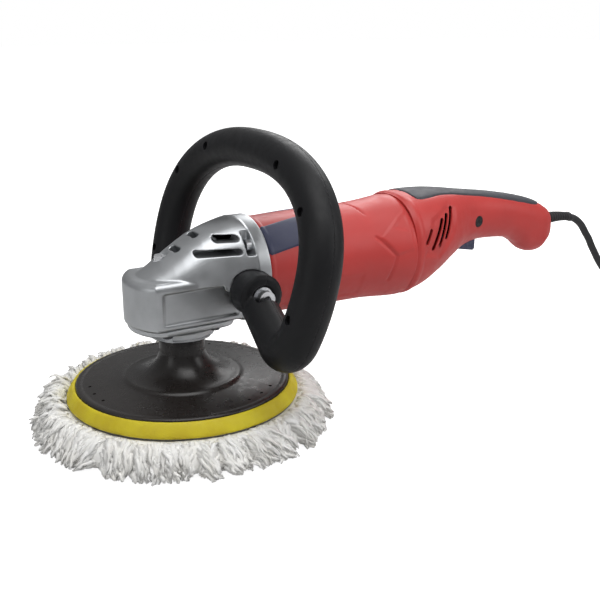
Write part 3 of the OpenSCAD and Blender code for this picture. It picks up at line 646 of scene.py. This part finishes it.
# the core's points and faces, and then each lock's
verts, faces = list(points_of(core)), [tuple(p.vertices) for p in core.data.polygons]
bpy.data.objects.remove(core)
for _ in range(LOCKS):
    tier = rng.uniform() ** 0.9  # 0 at the top by the foam, 1 low on the rim
    a = rng.uniform(0, TAU)
    c = int(np.argmin(np.abs((clump_at - a + math.pi) % TAU - math.pi)))
    off = (a - clump_at[c] + math.pi) % TAU - math.pi
    brushed = smooth((math.cos(a - RAISED) + 0.15) / 0.8)
    root_r = lerp(91.5, 106, tier ** 0.8) + rng.normal(0, 1.2)
    root_z = lerp(WOOL_TOP - 1.2, 4.0, tier ** 1.5)
    reach = lerp(15, 9, tier) + rng.normal(0, 1.3)
    tip_r = min(REACH_R, root_r + reach * (1 - 0.25 * brushed * (1 - tier)) + clump_reach[c])
    tip_z = max(1.0, lerp(11.5, 1.6, tier) + clump_lift[c] * 1.6 + rng.normal(0, 1.3))
    tip_z += brushed * (1 - tier) * rng.uniform(5, 17)
    tip_a = a - 0.5 * off + clump_turn[c] * 0.35 + rng.normal(0, 0.02)
    thick = rng.uniform(1.6, 2.7)
    crimp, phase = rng.uniform(0.3, 1.0), rng.uniform(0, TAU)
    curl = rng.uniform(1.2, 2.2)
    line = []
    for s in range(SEGMENTS + 1):
        t = s / SEGMENTS
        r = lerp(root_r, tip_r, t)
        ang = lerp(a, tip_a, t) + crimp * math.sin(phase + curl * TAU * t) / 105
        arch = (2.2 + 3.5 * brushed * (1 - tier)) * math.sin(math.pi * t) * (1 - 0.5 * tier)
        z = lerp(root_z, tip_z, t ** 1.6) + arch
        z += crimp * 0.7 * math.cos(phase + curl * TAU * t) * t
        line.append((r * math.cos(ang), r * math.sin(ang), max(0.7, z)))
    line = np.array(line)
    base = len(verts)
    for s in range(SEGMENTS + 1):
        t = s / SEGMENTS
        way = unit(line[min(s + 1, SEGMENTS)] - line[max(s - 1, 0)])
        side = unit(np.cross(way, (0, 0, 1)))
        up = np.cross(side, way)
        w = thick * (0.35 + 0.65 * math.sin(math.pi * min(1.0, 0.25 + 0.62 * t)) ** 0.7) * (1 - 0.5 * t ** 3)
        twist = phase + 1.2 * t
        for q in range(SIDES):
            g = twist + q * TAU / SIDES
            point = line[s] + w * (1.2 * side * math.cos(g) + 0.85 * up * math.sin(g))
            verts.append((point[0], point[1], max(0.15, point[2])))
    faces += [tuple(base + i for i in f) for f in grid_faces(SEGMENTS + 1, SIDES, True)]
    faces.append(tuple(base + q for q in range(SIDES)))
    faces.append(tuple(base + SEGMENTS * SIDES + q for q in range(SIDES)))
fleece = make("wool_fleece", verts, faces)
piece(fleece, "wool_fleece_pad", "spindle_assembly", wool, "wool", "wool_pad")

# ---------- foam ring, backing plate ----------

foam_r, plate_r = FOAM_HIGH[0], PLATE_HIGH[0]
z0, z1 = FOAM_LOW[2], FOAM_HIGH[2]
foam_profile = [
    (plate_r - 30, z0), (plate_r, z0), (foam_r - 2.2, z0), (foam_r - 0.8, z0 + 0.4),
    (foam_r - 0.1, z0 + 1.3), (foam_r - 0.3, z0 + 3), (foam_r - 1.9, z0 + 6), (foam_r - 3.6, z0 + 8.6),
    (foam_r - 4.8, z0 + 10.2), (foam_r - 5.8, z0 + 10.9), (plate_r + 0.9, z1),
    (plate_r + 0.25, z1 - 0.5), (plate_r + 0.2, PLATE_LOW[2]), (plate_r - 30, PLATE_LOW[2] - 0.1)]


def foam_change(r, z, a):
    x, y = r * math.cos(a), r * math.sin(a)
    k = 0.16 if r > plate_r + 1 else 0
    return r + k * lump(x, y, z, 7) + k * 0.8 * lump(x, y, z, 2.2, 5), z


foam_ring = lathe("foam_ring", foam_profile, 400, foam_change)
mod = foam_ring.modifiers.new("subdivide", "SUBSURF")
mod.levels = mod.render_levels = 1
apply_modifiers(foam_ring)
piece(foam_ring, "foam_backing_ring", "spindle_assembly", foam, "foam", "backing_foam")

top, hub_r, hub_top = PLATE_LOW[2] + 6.4, 17.5, PLATE_HIGH[2]
plate_low = PLATE_LOW[2]
plate_profile = [
    (7.4, plate_low), (plate_r - 1.2, plate_low), (plate_r - 0.3, plate_low + 0.3),
    (plate_r, plate_low + 1.2), (plate_r, top - 1.6), (plate_r - 0.3, top - 0.8), (plate_r - 1.0, top - 0.25),
    (plate_r - 2.2, top), (plate_r - 4.5, top - 0.1), (plate_r - 5.4, top - 0.45),
    (plate_r - 6.4, top - 0.35), (plate_r - 12, top + 0.1), (58, top + 0.9), (50, top + 1.7),
    (48.5, top + 1.9), (46.6, top + 2.2), (45.7, top + 3.0), (44.7, top + 3.8), (43.2, top + 4.0),
    (41.2, top + 3.9), (37, top + 4.3), (30, top + 6.4), (26.5, top + 8.6), (23.5, top + 11.3),
    (21.2, top + 14), (19.6, top + 16.6), (18.6, top + 19), (hub_r + 0.2, top + 21.2), (hub_r, top + 23),
    (hub_r, hub_top - 0.9), (hub_r - 0.3, hub_top - 0.3), (hub_r - 1, hub_top), (12.2, hub_top - 0.2),
    (12.2, 34.2), (7.4, 34)]
plate = lathe("plate", plate_profile, 256)
DIMPLE_RING_R = 72
for spot in (168, 180, 192, 288, 300, 312, 48, 60, 72):
    a = math.radians(spot)
    p = np.array((DIMPLE_RING_R * math.cos(a), DIMPLE_RING_R * math.sin(a), 0))
    carve(plate, rod(p + (0, 0, top - 0.9), p + (0, 0, top + 3), 1.3, steps=20))
sharpen(plate, 38)
piece(plate, "backing_plate_moulding", "spindle_assembly", plate_black, "plate", "backing_plate")

# ---------- gear head ----------

NOSE_R, CASE_HALF = 43.0, 30.0
CASE_Z0, NOSE_TOP = 82.0, 118.0
FLANGE_FACE = FLANGE_X - 11
EYE_X, EYE_Z = 41.84, 105.0  # centre of the loop handle's eyes
BORE_Z = (91.0, 111.0)  # crown gear's chamber
LOCK_AT = (-11.5, 5)  # spindle lock's button, in X and Y
COVER_SCREWS = [(x, y) for x in (-19.5, 19.5) for y in (-19.5, 19.5)]


def eye(side, y0, y1, radius, steps):
    """A bar along the loop handle's bolt, on one side."""
    return hole_y(EYE_X, EYE_Z, side * y0, side * y1, radius, steps)


def nose_ring(inset, z):
    """The head's outline seen from above: an arc cut off by flat sides that run back to the flange."""
    r, half = NOSE_R - inset, CASE_HALF - inset
    cut = math.asin(half / r)
    arc = [(-r * math.cos(a), r * math.sin(a), z) for a in np.linspace(-cut, cut, 40)]
    along = np.linspace(-10, FLANGE_FACE + 1, 8)
    return arc + [(x, half, z) for x in along] + [(x, -half, z) for x in along[::-1]]


round_top = 5.0  # radius of the nose's upper edge
rows = [(1.0, CASE_Z0), (0.2, CASE_Z0 + 0.8), (0, CASE_Z0 + 2), (0, NOSE_TOP - round_top - 2)]
rows += [(round_top * (1 - math.cos(a)), NOSE_TOP - round_top * (1 - math.sin(a)))
         for a in np.radians((0, 15, 30, 45, 60, 75, 88))]
head = loft("head", [nose_ring(*row) for row in rows])

# half width and top of the dome that rises from the nose to the flange
DOME_X = (-39, -35, -31, -26, -20, -12, -4, 4, 12, 20, 28, 36, 42, 47.5)
DOME_HALF = (8, 13, 17, 20.5, 23.5, 26.5, 28.8, 30.3, 31.6, 32.8, 34.4, 36.6, 38.8, 41.0)
DOME_TOP = (114, 116.5, 119, 121.8, 125, 130.5, 135.8, 141, 145.8, 149.3, 151.8, 153.8, 155, 155.8)
DOME_CENTRE, DOME_DOWN, DOME_N = 110.0, 16, 2.3
dome_rings = []
for x in np.arange(-39, 47.6, 1.5):
    half, high = np.interp(x, DOME_X, DOME_HALF), np.interp(x, DOME_X, DOME_TOP)
    ring = []
    for a in angles(72):
        c, s = math.cos(a), math.sin(a)
        reach = high - DOME_CENTRE if s > 0 else DOME_DOWN
        ring.append((x, half * bulge(c, DOME_N), DOME_CENTRE + reach * bulge(s, DOME_N)))
    dome_rings.append(ring)
join(head, loft("dome", dome_rings))
join(head, rod((FLANGE_FACE, 0, AXIS_Z), (FLANGE_X, 0, AXIS_Z), 41.7, steps=128))
for side in (-1, 1):
    join(head, eye(side, 18, 34.2, 13, 64))
    # panel, screw pockets and air slots
    skin, deep = sorted((side * 28.9, side * 33)), sorted((side * 22, side * 46))
    carve(head, block((-25.5, skin[0], 86.5), (34, skin[1], 111)),
          block((40.7, deep[0], 132), (FLANGE_FACE, deep[1], 149)),
          block((38, deep[0], 80), (FLANGE_FACE, deep[1], 94)))
    for z, x0 in ((135, 6), (144, 22)):
        carve(head, slot_y((x0, z), (36, z), side * 11, side * 48, 2.3, 24))
# two short slots across the front of the dome, cut square to its slope
for x, z in ((-3, 136.2), (12, 145.2)):
    for y in np.arange(-4.9, 5.0, 1.4):
        carve(head, rod((x - 3.4, y, z + 4.9), (x + 6.8, y, z - 9.8), 2.8, steps=24))
soften(head, 0.72, 3)

# the gear chamber, bearing seats and screw holes
cutters = [
    rod((0, 0, CASE_Z0 - 2), (0, 0, BORE_Z[0] + 0.1), 22.1, steps=96),
    rod((0, 0, BORE_Z[0]), (0, 0, BORE_Z[1]), 25.4, steps=96),
    rod((0, 0, BORE_Z[1] - 1), (0, 0, 122), 7.0),
    rod((8, 0, AXIS_Z), (41, 0, AXIS_Z), 11),
    rod((40, 0, AXIS_Z), (49.2, 0, AXIS_Z), 13),
    rod((49, 0, AXIS_Z), (FLANGE_X + 1, 0, AXIS_Z), 34, steps=96),
    block((24, -13, 131), (50, 13, 147.5)),
    rod((*LOCK_AT, 100), (*LOCK_AT, 125), 2.2, steps=24),
    rod((*LOCK_AT, 119), (*LOCK_AT, 140), 6.1, steps=40)]
for side in (-1, 1):
    cutters += [eye(side, 22, 36, 4, 32), eye(side, 34.3, 46, 17.4, 64)]
    for up in (-1, 1):
        p = (side * 26.6, AXIS_Z + up * 24.4)
        cutters.append(rod((FLANGE_FACE - 2, *p), (FLANGE_X + 1, *p), 2.5, steps=24))
for x, y in COVER_SCREWS:
    cutters.append(rod((x, y, CASE_Z0 - 1), (x, y, CASE_Z0 + 9), 2, steps=24))
carve(head, *cutters)
piece(head, "gear_case_casting", "machine", cast, "cast_alloy", "gear_case")

# bearing cover: a flange of the head's outline that funnels down to the round collar
COLLAR_Z, COLLAR_R = box_mm("bearing_cover")[0][2], 25.0


def cover_ring(k, inset, z):
    """k = 1 is the head's outline, k = 0 the round collar."""
    r, half = NOSE_R - 2.4 - inset, CASE_HALF - 0.8 - inset
    ring = []
    for a in angles(180):
        outline = ((1 / r) ** 14 + (abs(math.sin(a)) / half) ** 14) ** (-1 / 14)
        reach = lerp(COLLAR_R - inset, outline, k)
        ring.append((reach * math.cos(a), reach * math.sin(a), z))
    return ring


cover_rings = [cover_ring(*row) for row in (
    (1, 0.6, 81.9), (1, 0, 81.3), (1, 0, 78.3), (1, 0.5, 77.5), (0.93, 0.6, 77.2), (0.6, 0, 76.9),
    (0.25, 0, 76.6), (0.08, 0, 76.1), (0.01, 0, 75.2), (0, 0, 74.4), (0, 0, 71.6), (0, 0.5, 71.2),
    (0, 0.5, 70.6), (0, 0, 70.2), (0, 0, 69.6), (0, 0.5, 68.9), (0, 1.2, COLLAR_Z))]
cover_rings += [round_z(r, z, 180) for r, z in (
    (10.4, COLLAR_Z), (10.4, 79.2), (17.4, 79.2), (17.4, 90.5), (21.9, 90.5), (21.9, 81.9))]
cover = loft("cover", cover_rings, wrap=True)
for x, y in COVER_SCREWS:
    carve(cover, rod((x, y, 60), (x, y, 77), 4.3, steps=32), rod((x, y, 76), (x, y, 84), 2, steps=24))
sharpen(cover, 32)
piece(cover, "bearing_cover_casting", "machine", cast, "cast_alloy", "bearing_cover")

# ---------- motor housing ----------


def housing_r(x):
    return np.where(x < 150, lerp(39.0, 40.6, (x - FLANGE_X) / (150 - FLANGE_X)),
                    lerp(40.6, 43.5, smooth((x - 150) / (SEAM_X - 150))))


def to_line(x, v, ax, av, bx, bv):
    """Distance of points from a stretch of line."""
    dx, dv = bx - ax, bv - av
    t = np.clip(((x - ax) * dx + (v - av) * dv) / (dx * dx + dv * dv), 0, 1)
    return np.hypot(x - ax - t * dx, v - av - t * dv)


def inside(x, v, corners):
    """How far points lie inside a convex outline given anticlockwise, negative outside."""
    depth = np.full(np.shape(x), 1e9)
    for (ax, av), (bx, bv) in zip(corners, corners[1:] + corners[:1]):
        k = math.hypot(bx - ax, bv - av)
        depth = np.minimum(depth, ((bx - ax) * (v - av) - (bv - av) * (x - ax)) / k)
    return depth


def housing_relief(x, a):
    """Height of the moulded detail at x, with a the angle above the motor axis in degrees, on either side."""
    v = a * 0.72  # mm round the skin
    up = np.zeros(np.shape(x))
    # arrow-shaped crease
    crease = np.minimum(to_line(x, v, 157, 19, 174, 1.5), to_line(x, v, 174, 1.5, 169, -19))
    up -= 0.9 * np.exp(-(crease / 1.3) ** 2)
    # the skin behind the crease stands a little proud
    up += 0.7 * smooth(inside(x, v, [(158, 20), (174, 1), (192, 4), (192, 42), (181, 34)]) / 3)
    up -= 0.8 * smooth(inside(x, v, [(172, 23), (190, 18), (193, 40), (182, 34)]) / 4)
    # groove across the top, bead before the seam, and a rim at the front
    up -= 0.8 * np.exp(-((x - 149 - 0.19 * (90 - a)) / 1.0) ** 2) * smooth((a - 55) / 6)
    up += 0.9 * np.exp(-((x - 185) / 6.0) ** 2 - ((a - 88) / 13) ** 2)
    up += 0.55 * np.exp(-((x - 61) / 1.8) ** 4)
    up -= 0.7 * smooth((x - SEAM_X + 1.3) / 1.2)
    up -= 0.6 * smooth((FLANGE_X + 1.0 - x) / 1.0)
    # flat along each side, low down
    up -= 0.5 * smooth(inside(x, v, [(70, -32), (146, -36), (146, -8), (70, -8)]) / 5)
    return up


AROUND = 300
turns = angles(AROUND)
side_angle = np.degrees(np.arcsin(np.sin(turns)))


def round_x(x, r):
    """A circle about the motor axis; r may be one radius or one for each point."""
    return np.stack([np.full(AROUND, x), r * np.cos(turns), AXIS_Z + r * np.sin(turns)], 1)


housing_rings = [round_x(x, housing_r(x) + housing_relief(np.full(AROUND, x), side_angle))
                 for x in np.arange(FLANGE_X, SEAM_X + 0.01, 0.9)]
housing_rings += [round_x(x, r) for x, r in (
    (SEAM_X, 40.3), (182, 40.3), (182, 14), (189, 14), (189, 11.1), (182.05, 11.1), (182.05, 6),
    (178, 6), (178, 36.1), (60.2, 36.1), (60.2, 37.1), (FLANGE_X, 37.1))]
housing = loft("housing", housing_rings, wrap=True)
for k in range(9):
    a = math.radians(20 + 40 * k)
    p = (25 * math.cos(a), AXIS_Z + 25 * math.sin(a))
    carve(housing, rod((176, *p), (184, *p), 5, steps=24))
sharpen(housing, 40)
piece(housing, "motor_housing_shell", "machine", red, "red_plastic", "motor_housing")

# navy inlay on each side, following the housing
INLAY_X = (58.6, 130)
INLAY_POINTS = 40
across_inlay = np.linspace(0, 1, INLAY_POINTS)
for side, label in ((-1, "left"), (1, "right")):
    rings = []
    for x in np.arange(*INLAY_X, 0.8):
        front, back = 1 - smooth((x - INLAY_X[0]) / 2), 1 - smooth((INLAY_X[1] - x) / 8)
        low = 24 + 0.26 * (x - 60) + 3 * front + 8 * back
        high = min(61.5 + 0.30 * (x - 60) - 3 * front - 8 * back, 79)
        turn = np.radians(np.linspace(low, high, INLAY_POINTS))
        end = smooth((x - INLAY_X[0]) / 1.2) * smooth((INLAY_X[1] - x) / 3)
        lift = 0.85 * end * mask(across_inlay, 0, 1, 0.06)
        r = housing_r(x) + housing_relief(np.full(INLAY_POINTS, x), np.degrees(turn))
        skin = [(x, side * q * math.cos(a), AXIS_Z + q * math.sin(a)) for q, a in zip(r + lift + 0.02, turn)]
        under = [(x, side * q * math.cos(a), AXIS_Z + q * math.sin(a)) for q, a in zip(r - 0.35, turn)]
        rings.append(skin + under[::-1])
    inlay = sharpen(loft("inlay", rings), 45)
    nodes = ["side_trims"] if side < 0 else []
    piece(inlay, "side_inlay_" + label, "machine", navy, "navy_plastic", *nodes)

# ---------- rear handle ----------

# x, top, bottom and half width
STATIONS = np.array([
    (195, 159, 72, 43.5), (214, 160, 76, 41.5), (234, 159.5, 85, 36), (252, 157.5, 95, 29.5),
    (268, 155, 103, 23.5), (286, 152.5, 107, 19.5), (306, 149.5, 107, 18), (328, 145.5, 104.5, 17.5),
    (341, 142.5, 98, 17.5), (351, 139.8, 90, 17.5), (361, 136.5, 87, 17.2), (370, 132.5, 88, 16.5),
    (377, 128.5, 93.5, 14), (380, 126, 100, 11)])
LOBE_END = STATIONS[-1, 0]
HANDLE_N = 2.25


def station(x):
    """Top, bottom and half width of the handle at x: a Catmull-Rom curve through the stations."""
    i = int(np.clip(np.searchsorted(STATIONS[:, 0], x, side="right") - 1, 0, len(STATIONS) - 2))
    p0, p1 = STATIONS[max(i - 1, 0)], STATIONS[i]
    p2, p3 = STATIONS[i + 1], STATIONS[min(i + 2, len(STATIONS) - 1)]
    t = (x - p1[0]) / (p2[0] - p1[0])
    bend, twist = 2 * p0 - 5 * p1 + 4 * p2 - p3, 3 * p1 - p0 - 3 * p2 + p3
    return (0.5 * (2 * p1 + (p2 - p0) * t + bend * t * t + twist * t ** 3))[1:]


def handle_point(x, a, inset=0.0):
    """Point of the handle's skin, a in radians from level on the +Y side."""
    high, low, half = station(x)
    y = (half - inset) * bulge(math.cos(a), HANDLE_N)
    z = (high + low) / 2 + ((high - low) / 2 - inset) * bulge(math.sin(a), HANDLE_N)
    return np.array((x, y, z))


def handle_skin(x, a):
    """The point and its outward direction."""
    p = handle_point(x, a)
    return p, unit(p - handle_point(x, a, 1.0))


GRIP_X = (206.5, 368.0)
VENT_HOLLOW = [(201, 112), (222, 104), (243, 124), (248, 147), (238, 152), (212, 142)]


def handle_relief(x, y, z):
    """Moulded detail of the handle's skin, outward, at a point on either side."""
    up = -0.8 * (1 - smooth((x - SEAM_X) / 1.2))  # seam with the motor housing
    up += 0.7 * math.exp(-((x - SEAM_X - 4.2) / 2.6) ** 4)  # rim behind the seam
    up -= 1.3 * smooth(float(inside(np.array(x), np.array(z), VENT_HOLLOW)) / 5)
    edge = grip_half(x)
    if edge > 0 and z > 120:  # recess for the soft grip
        up -= 0.5 * smooth((edge - abs(y)) / 1.2 + 0.2) * mask(x, *GRIP_X, 1.5)
    return up


def grip_half(x):
    """Half width of the soft grip at x, across the top of the handle."""
    if not GRIP_X[0] <= x <= GRIP_X[1]:
        return 0.0
    wide = np.interp(x, (206, 214, 224, 236, 250, 265, 287, 311, 335, 352, 362, 368),
                     (20.5, 22.5, 20.8, 17.6, 15.2, 13.4, 11.8, 12.2, 12.6, 11.6, 10, 8))
    front = smooth((x - GRIP_X[0] + 4) / 7)
    back = math.sqrt(max(0.0, 1 - max(0.0, (x - 358) / 10.2) ** 2))
    return float(wide * front * back)


SHELL_WALL = 2.6
MIDPLANE = 0.012  # each half stops this far from Y = 0
ARC = 110


def shell_ring(x, side, inset):
    """Channel section of one handle half at x."""
    ring = []
    for a in np.linspace(-math.pi / 2, math.pi / 2, ARC):
        p, out = handle_skin(x, a)
        p = p + out * handle_relief(*p)
        p = p - out * 0.35 * math.exp(-(p[1] / 0.5) ** 2)  # groove between the halves
        ring.append((x, side * max(p[1], MIDPLANE), p[2]))
    for a in np.linspace(math.pi / 2, -math.pi / 2, ARC // 2):
        p = handle_point(x, a, inset)
        ring.append((x, side * max(p[1], MIDPLANE), p[2]))
    return ring


# lower and upper end of each slot, in X and Z
AIR_SLOTS = [((205, 122.5), (210.5, 131.5)), ((213, 116.5), (226, 138)), ((221.5, 117.5), (233, 141)),
             ((230.5, 123), (241, 145.5))]
handle_x = np.append(np.arange(SEAM_X - 0.6, LOBE_END - 0.3, 1.1), LOBE_END)
for side, label in ((-1, "left"), (1, "right")):
    rings = []
    for x in handle_x:
        high, low, half = station(x)
        inset = lerp(SHELL_WALL, min(half, (high - low) / 2) - 0.3, smooth((x - LOBE_END + 6) / 5))
        rings.append(shell_ring(x, side, inset))
    shell = loft("handle_half", rings)
    # an air guide inside, behind the slots
    near, far = sorted((side * 0.5, side * 2))
    join(shell, block((203, near, 108), (246, far, 157.2)))
    cuts = [rod((LOBE_END - 12, 0, 116), (LOBE_END + 5, 0, 116), 6.3, steps=40),
            block((258, -8.1, 88), (291.4, 8.1, 113.5))]
    cuts += [slot_y(start, end, side * 20, side * 60, 2, 16) for start, end in AIR_SLOTS]
    if side < 0:
        cuts.append(hole_y(280, 128, -40, -8, 5.3))  # lock-on button
    else:
        cuts += [hole_y(x, z, 12.2, 60, 3.6, 32) for x, z in ((206, 146), (206, 88), (300, 128), (345, 112))]
    sharpen(carve(shell, *cuts), 36)
    piece(shell, "handle_shell_moulding_" + label, "machine", red, "red_plastic", "handle_shell_" + label)

# soft grip over the top of both halves
rings = []
for x in np.linspace(GRIP_X[0], GRIP_X[1], 200):
    edge = max(grip_half(x), 0.3)
    high, low, half = station(x)
    skin, under = [], []
    for y in np.linspace(-edge, edge, 41):
        a = math.acos(np.clip(math.copysign((abs(y) / half) ** (HANDLE_N / 2), y), -1, 1))  # bulge undone
        p, out = handle_skin(x, a)
        near = smooth((edge - abs(y)) / 1.6) * mask(x, *GRIP_X, 1.6)
        skin.append(p + out * (-0.55 + 1.25 * near ** 0.6))
        under.append(p - out * 1.0)
    rings.append(skin + under[::-1])
grip = sharpen(loft("grip", rings), 50)
piece(grip, "soft_grip_overmould", "machine", grip_rubber, "grip_rubber", "soft_grip")

# strain relief: a tapered boot with a ringed neck and a small collar at its tip
rings = []
BOOT_END, BOOT_Z = 417, 116
for t in np.linspace(0, 1, 110):
    x = lerp(LOBE_END - 6, BOOT_END, t)
    bend = max(0, (t - 0.45) / 0.55)
    drop, lean = 2.4 * bend ** 2, math.radians(14 * bend)
    r = lerp(5.7, 4.5, smooth((x - LOBE_END) / 30)) if x > LOBE_END - 4.5 else 6.2
    if LOBE_END + 4 < x < 411 and (x - LOBE_END) % 3.4 > 2.3:
        r -= 0.5
    r += 0.5 * math.exp(-((x - 415) / 1.6) ** 4)
    rings.append([(x - r * math.sin(a) * math.sin(lean), r * math.cos(a),
                   BOOT_Z - drop + r * math.sin(a) * math.cos(lean)) for a in angles(48)])
boot = sharpen(loft("boot", rings), 40)
piece(boot, "strain_relief_boot", "machine", sheath, "cord_rubber", "strain_relief")

# ---------- loop handle ----------

LOOP_W, LOOP_TOP, LOOP_MID, LOOP_R = 119.0, 205.0, 125.5, 15.3
LOOP_N, LOOP_BOW, LEG_END, BEND_R = 2.33, 0.0049, 90.0, 17.0
LEAN = math.radians(15)
LOOP_AT = (40.5, 0, 100)  # a point in the plane where the halves meet
EYE_Y = (34.5, 56.0)


def loop_yz(s):
    """Middle line of half the loop: an arch from the top (s = 0), then a leg down to its foot (s = 1)."""
    a = math.pi / 2 * min(1, s / 0.7)
    if s < 0.7:
        return np.array((LOOP_W * math.sin(a) ** (2 / LOOP_N),
                         LOOP_MID + (LOOP_TOP - LOOP_MID) * math.cos(a) ** (2 / LOOP_N)))
    down = (s - 0.7) / 0.3 * (LOOP_MID - LEG_END)
    return np.array((LOOP_W - LOOP_BOW * down * down, LOOP_MID - down))


def loop_plane(y, z):
    return np.array((LOOP_AT[0] + (z - LOOP_AT[2]) * math.tan(LEAN), y, z))


def left_of(v):
    return np.array((-v[1], v[0]))


foot = loop_yz(1)
foot_way = unit(np.array((2 * LOOP_BOW * (LOOP_MID - LEG_END), 1)))
bend_c = foot + BEND_R * left_of(foot_way)
arm_start = np.array(((33 + EYE_Y[1]) / 2, EYE_Z - 3))
arm_way = bend_c - arm_start
arm_angle = math.atan2(arm_way[1], arm_way[0]) - math.asin(BEND_R / np.linalg.norm(arm_way))
foot_angle = math.atan2(foot_way[1], foot_way[0])
half_line = [bend_c - BEND_R * left_of((math.cos(a), math.sin(a)))
             for a in np.linspace(arm_angle, foot_angle, 12)]
half_line = [lerp(arm_start, half_line[0], t) for t in np.linspace(0, 0.9, 8)] + half_line
half_line += [loop_yz(s) for s in np.linspace(0.985, 0.0, 70)]
line = [loop_plane(-y, z) for y, z in half_line] + [loop_plane(y, z) for y, z in half_line[-2::-1]]
thick = [LOOP_R * lerp(0.86, 1, min(1, i / 14)) for i in range(len(half_line))]
thick = thick + thick[-2::-1]
across = np.array((math.cos(LEAN), 0, -math.sin(LEAN)))
rings = []
for i, p in enumerate(line):
    way = unit(line[min(i + 1, len(line) - 1)] - line[max(i - 1, 0)])
    side = unit(np.cross(way, across))
    rings.append([p + thick[i] * (side * math.cos(a) + across * math.sin(a)) for a in angles(64)])
loop = loft("loop", rings)

SEAT_Y, PAST_Y = EYE_Y[1] - 1.5, EYE_Y[1] + 9  # recess for the bolt's washer and head
for side in (-1, 1):
    join(loop, eye(side, EYE_Y[0], SEAT_Y, 17, 96), eye(side, EYE_Y[1] - 2, EYE_Y[1], 15, 96))
    carve(loop, eye(side, SEAT_Y, PAST_Y, 9.2, 64))
soften(loop, 0.85, 6)
for side in (-1, 1):
    carve(loop, eye(side, 33, 58, 6, 48), eye(side, SEAT_Y, PAST_Y, 9, 64))
carve(loop, rod((FLANGE_FACE - 0.3, 0, AXIS_Z), (FLANGE_X + 3, 0, AXIS_Z), 42.3, steps=160))
for s in (-0.88, -0.44, -0.2, 0.2, 0.44, 0.88):  # the screws' places along the loop
    y, z = loop_yz(abs(s))
    p = loop_plane(math.copysign(y, s), z)
    carve(loop, rod(p - across * (LOOP_R + 1), p - across * (LOOP_R - 5), 3.5, steps=32))
    carve(loop, rod(p - across * (LOOP_R - 4), p + across * (LOOP_R - 5), 1.65, steps=16))

for front, label in ((1, "front"), (-1, "rear")):
    half = make("loop_half", points_of(loop), [tuple(f.vertices) for f in loop.data.polygons])
    # the cutter's face is gridded, so that the cut is not closed by one huge polygon
    near, far = LOOP_AT[0], LOOP_AT[0] - front * 200
    cutter = loft("cutter", [[(near, y, z) for y in np.arange(-204, 205, 6)] + [(far, 204, z), (far, -204, z)]
                             for z in np.arange(-100, 402, 6)])
    carve(half, turned(cutter, LEAN, LOOP_AT))
    # the joint between the halves is a fine groove: its rim is drawn in a little
    bm = bmesh.new()
    bm.from_mesh(half.data)
    bmesh.ops.triangulate(bm, faces=[f for f in bm.faces if len(f.verts) > 4], ngon_method="EAR_CLIP")
    # where the cut runs through a corner, two triangles can lie face to face: both go
    twins = {}
    for f in bm.faces:
        twins.setdefault(frozenset(f.verts), []).append(f)
    doubled = [f for group in twins.values() if len(group) > 1 for f in group]
    bmesh.ops.delete(bm, geom=doubled, context="FACES")
    flat = Vector(across)
    for v in [v for v in bm.verts if abs((v.co / MM - Vector(LOOP_AT)).dot(flat)) < 1e-3]:
        out = sum((f.normal for f in v.link_faces if abs(f.normal.dot(flat)) < 0.9), Vector())
        out -= flat * out.dot(flat)
        if out.length > 1e-6:
            v.co -= out.normalized() * 0.2 * MM
    bm.to_mesh(half.data)
    bm.free()
    sharpen(half, 38)
    piece(half, "loop_handle_" + label, "machine", black, "black_plastic", f"loop_{label}_shell")
bpy.data.objects.remove(loop)
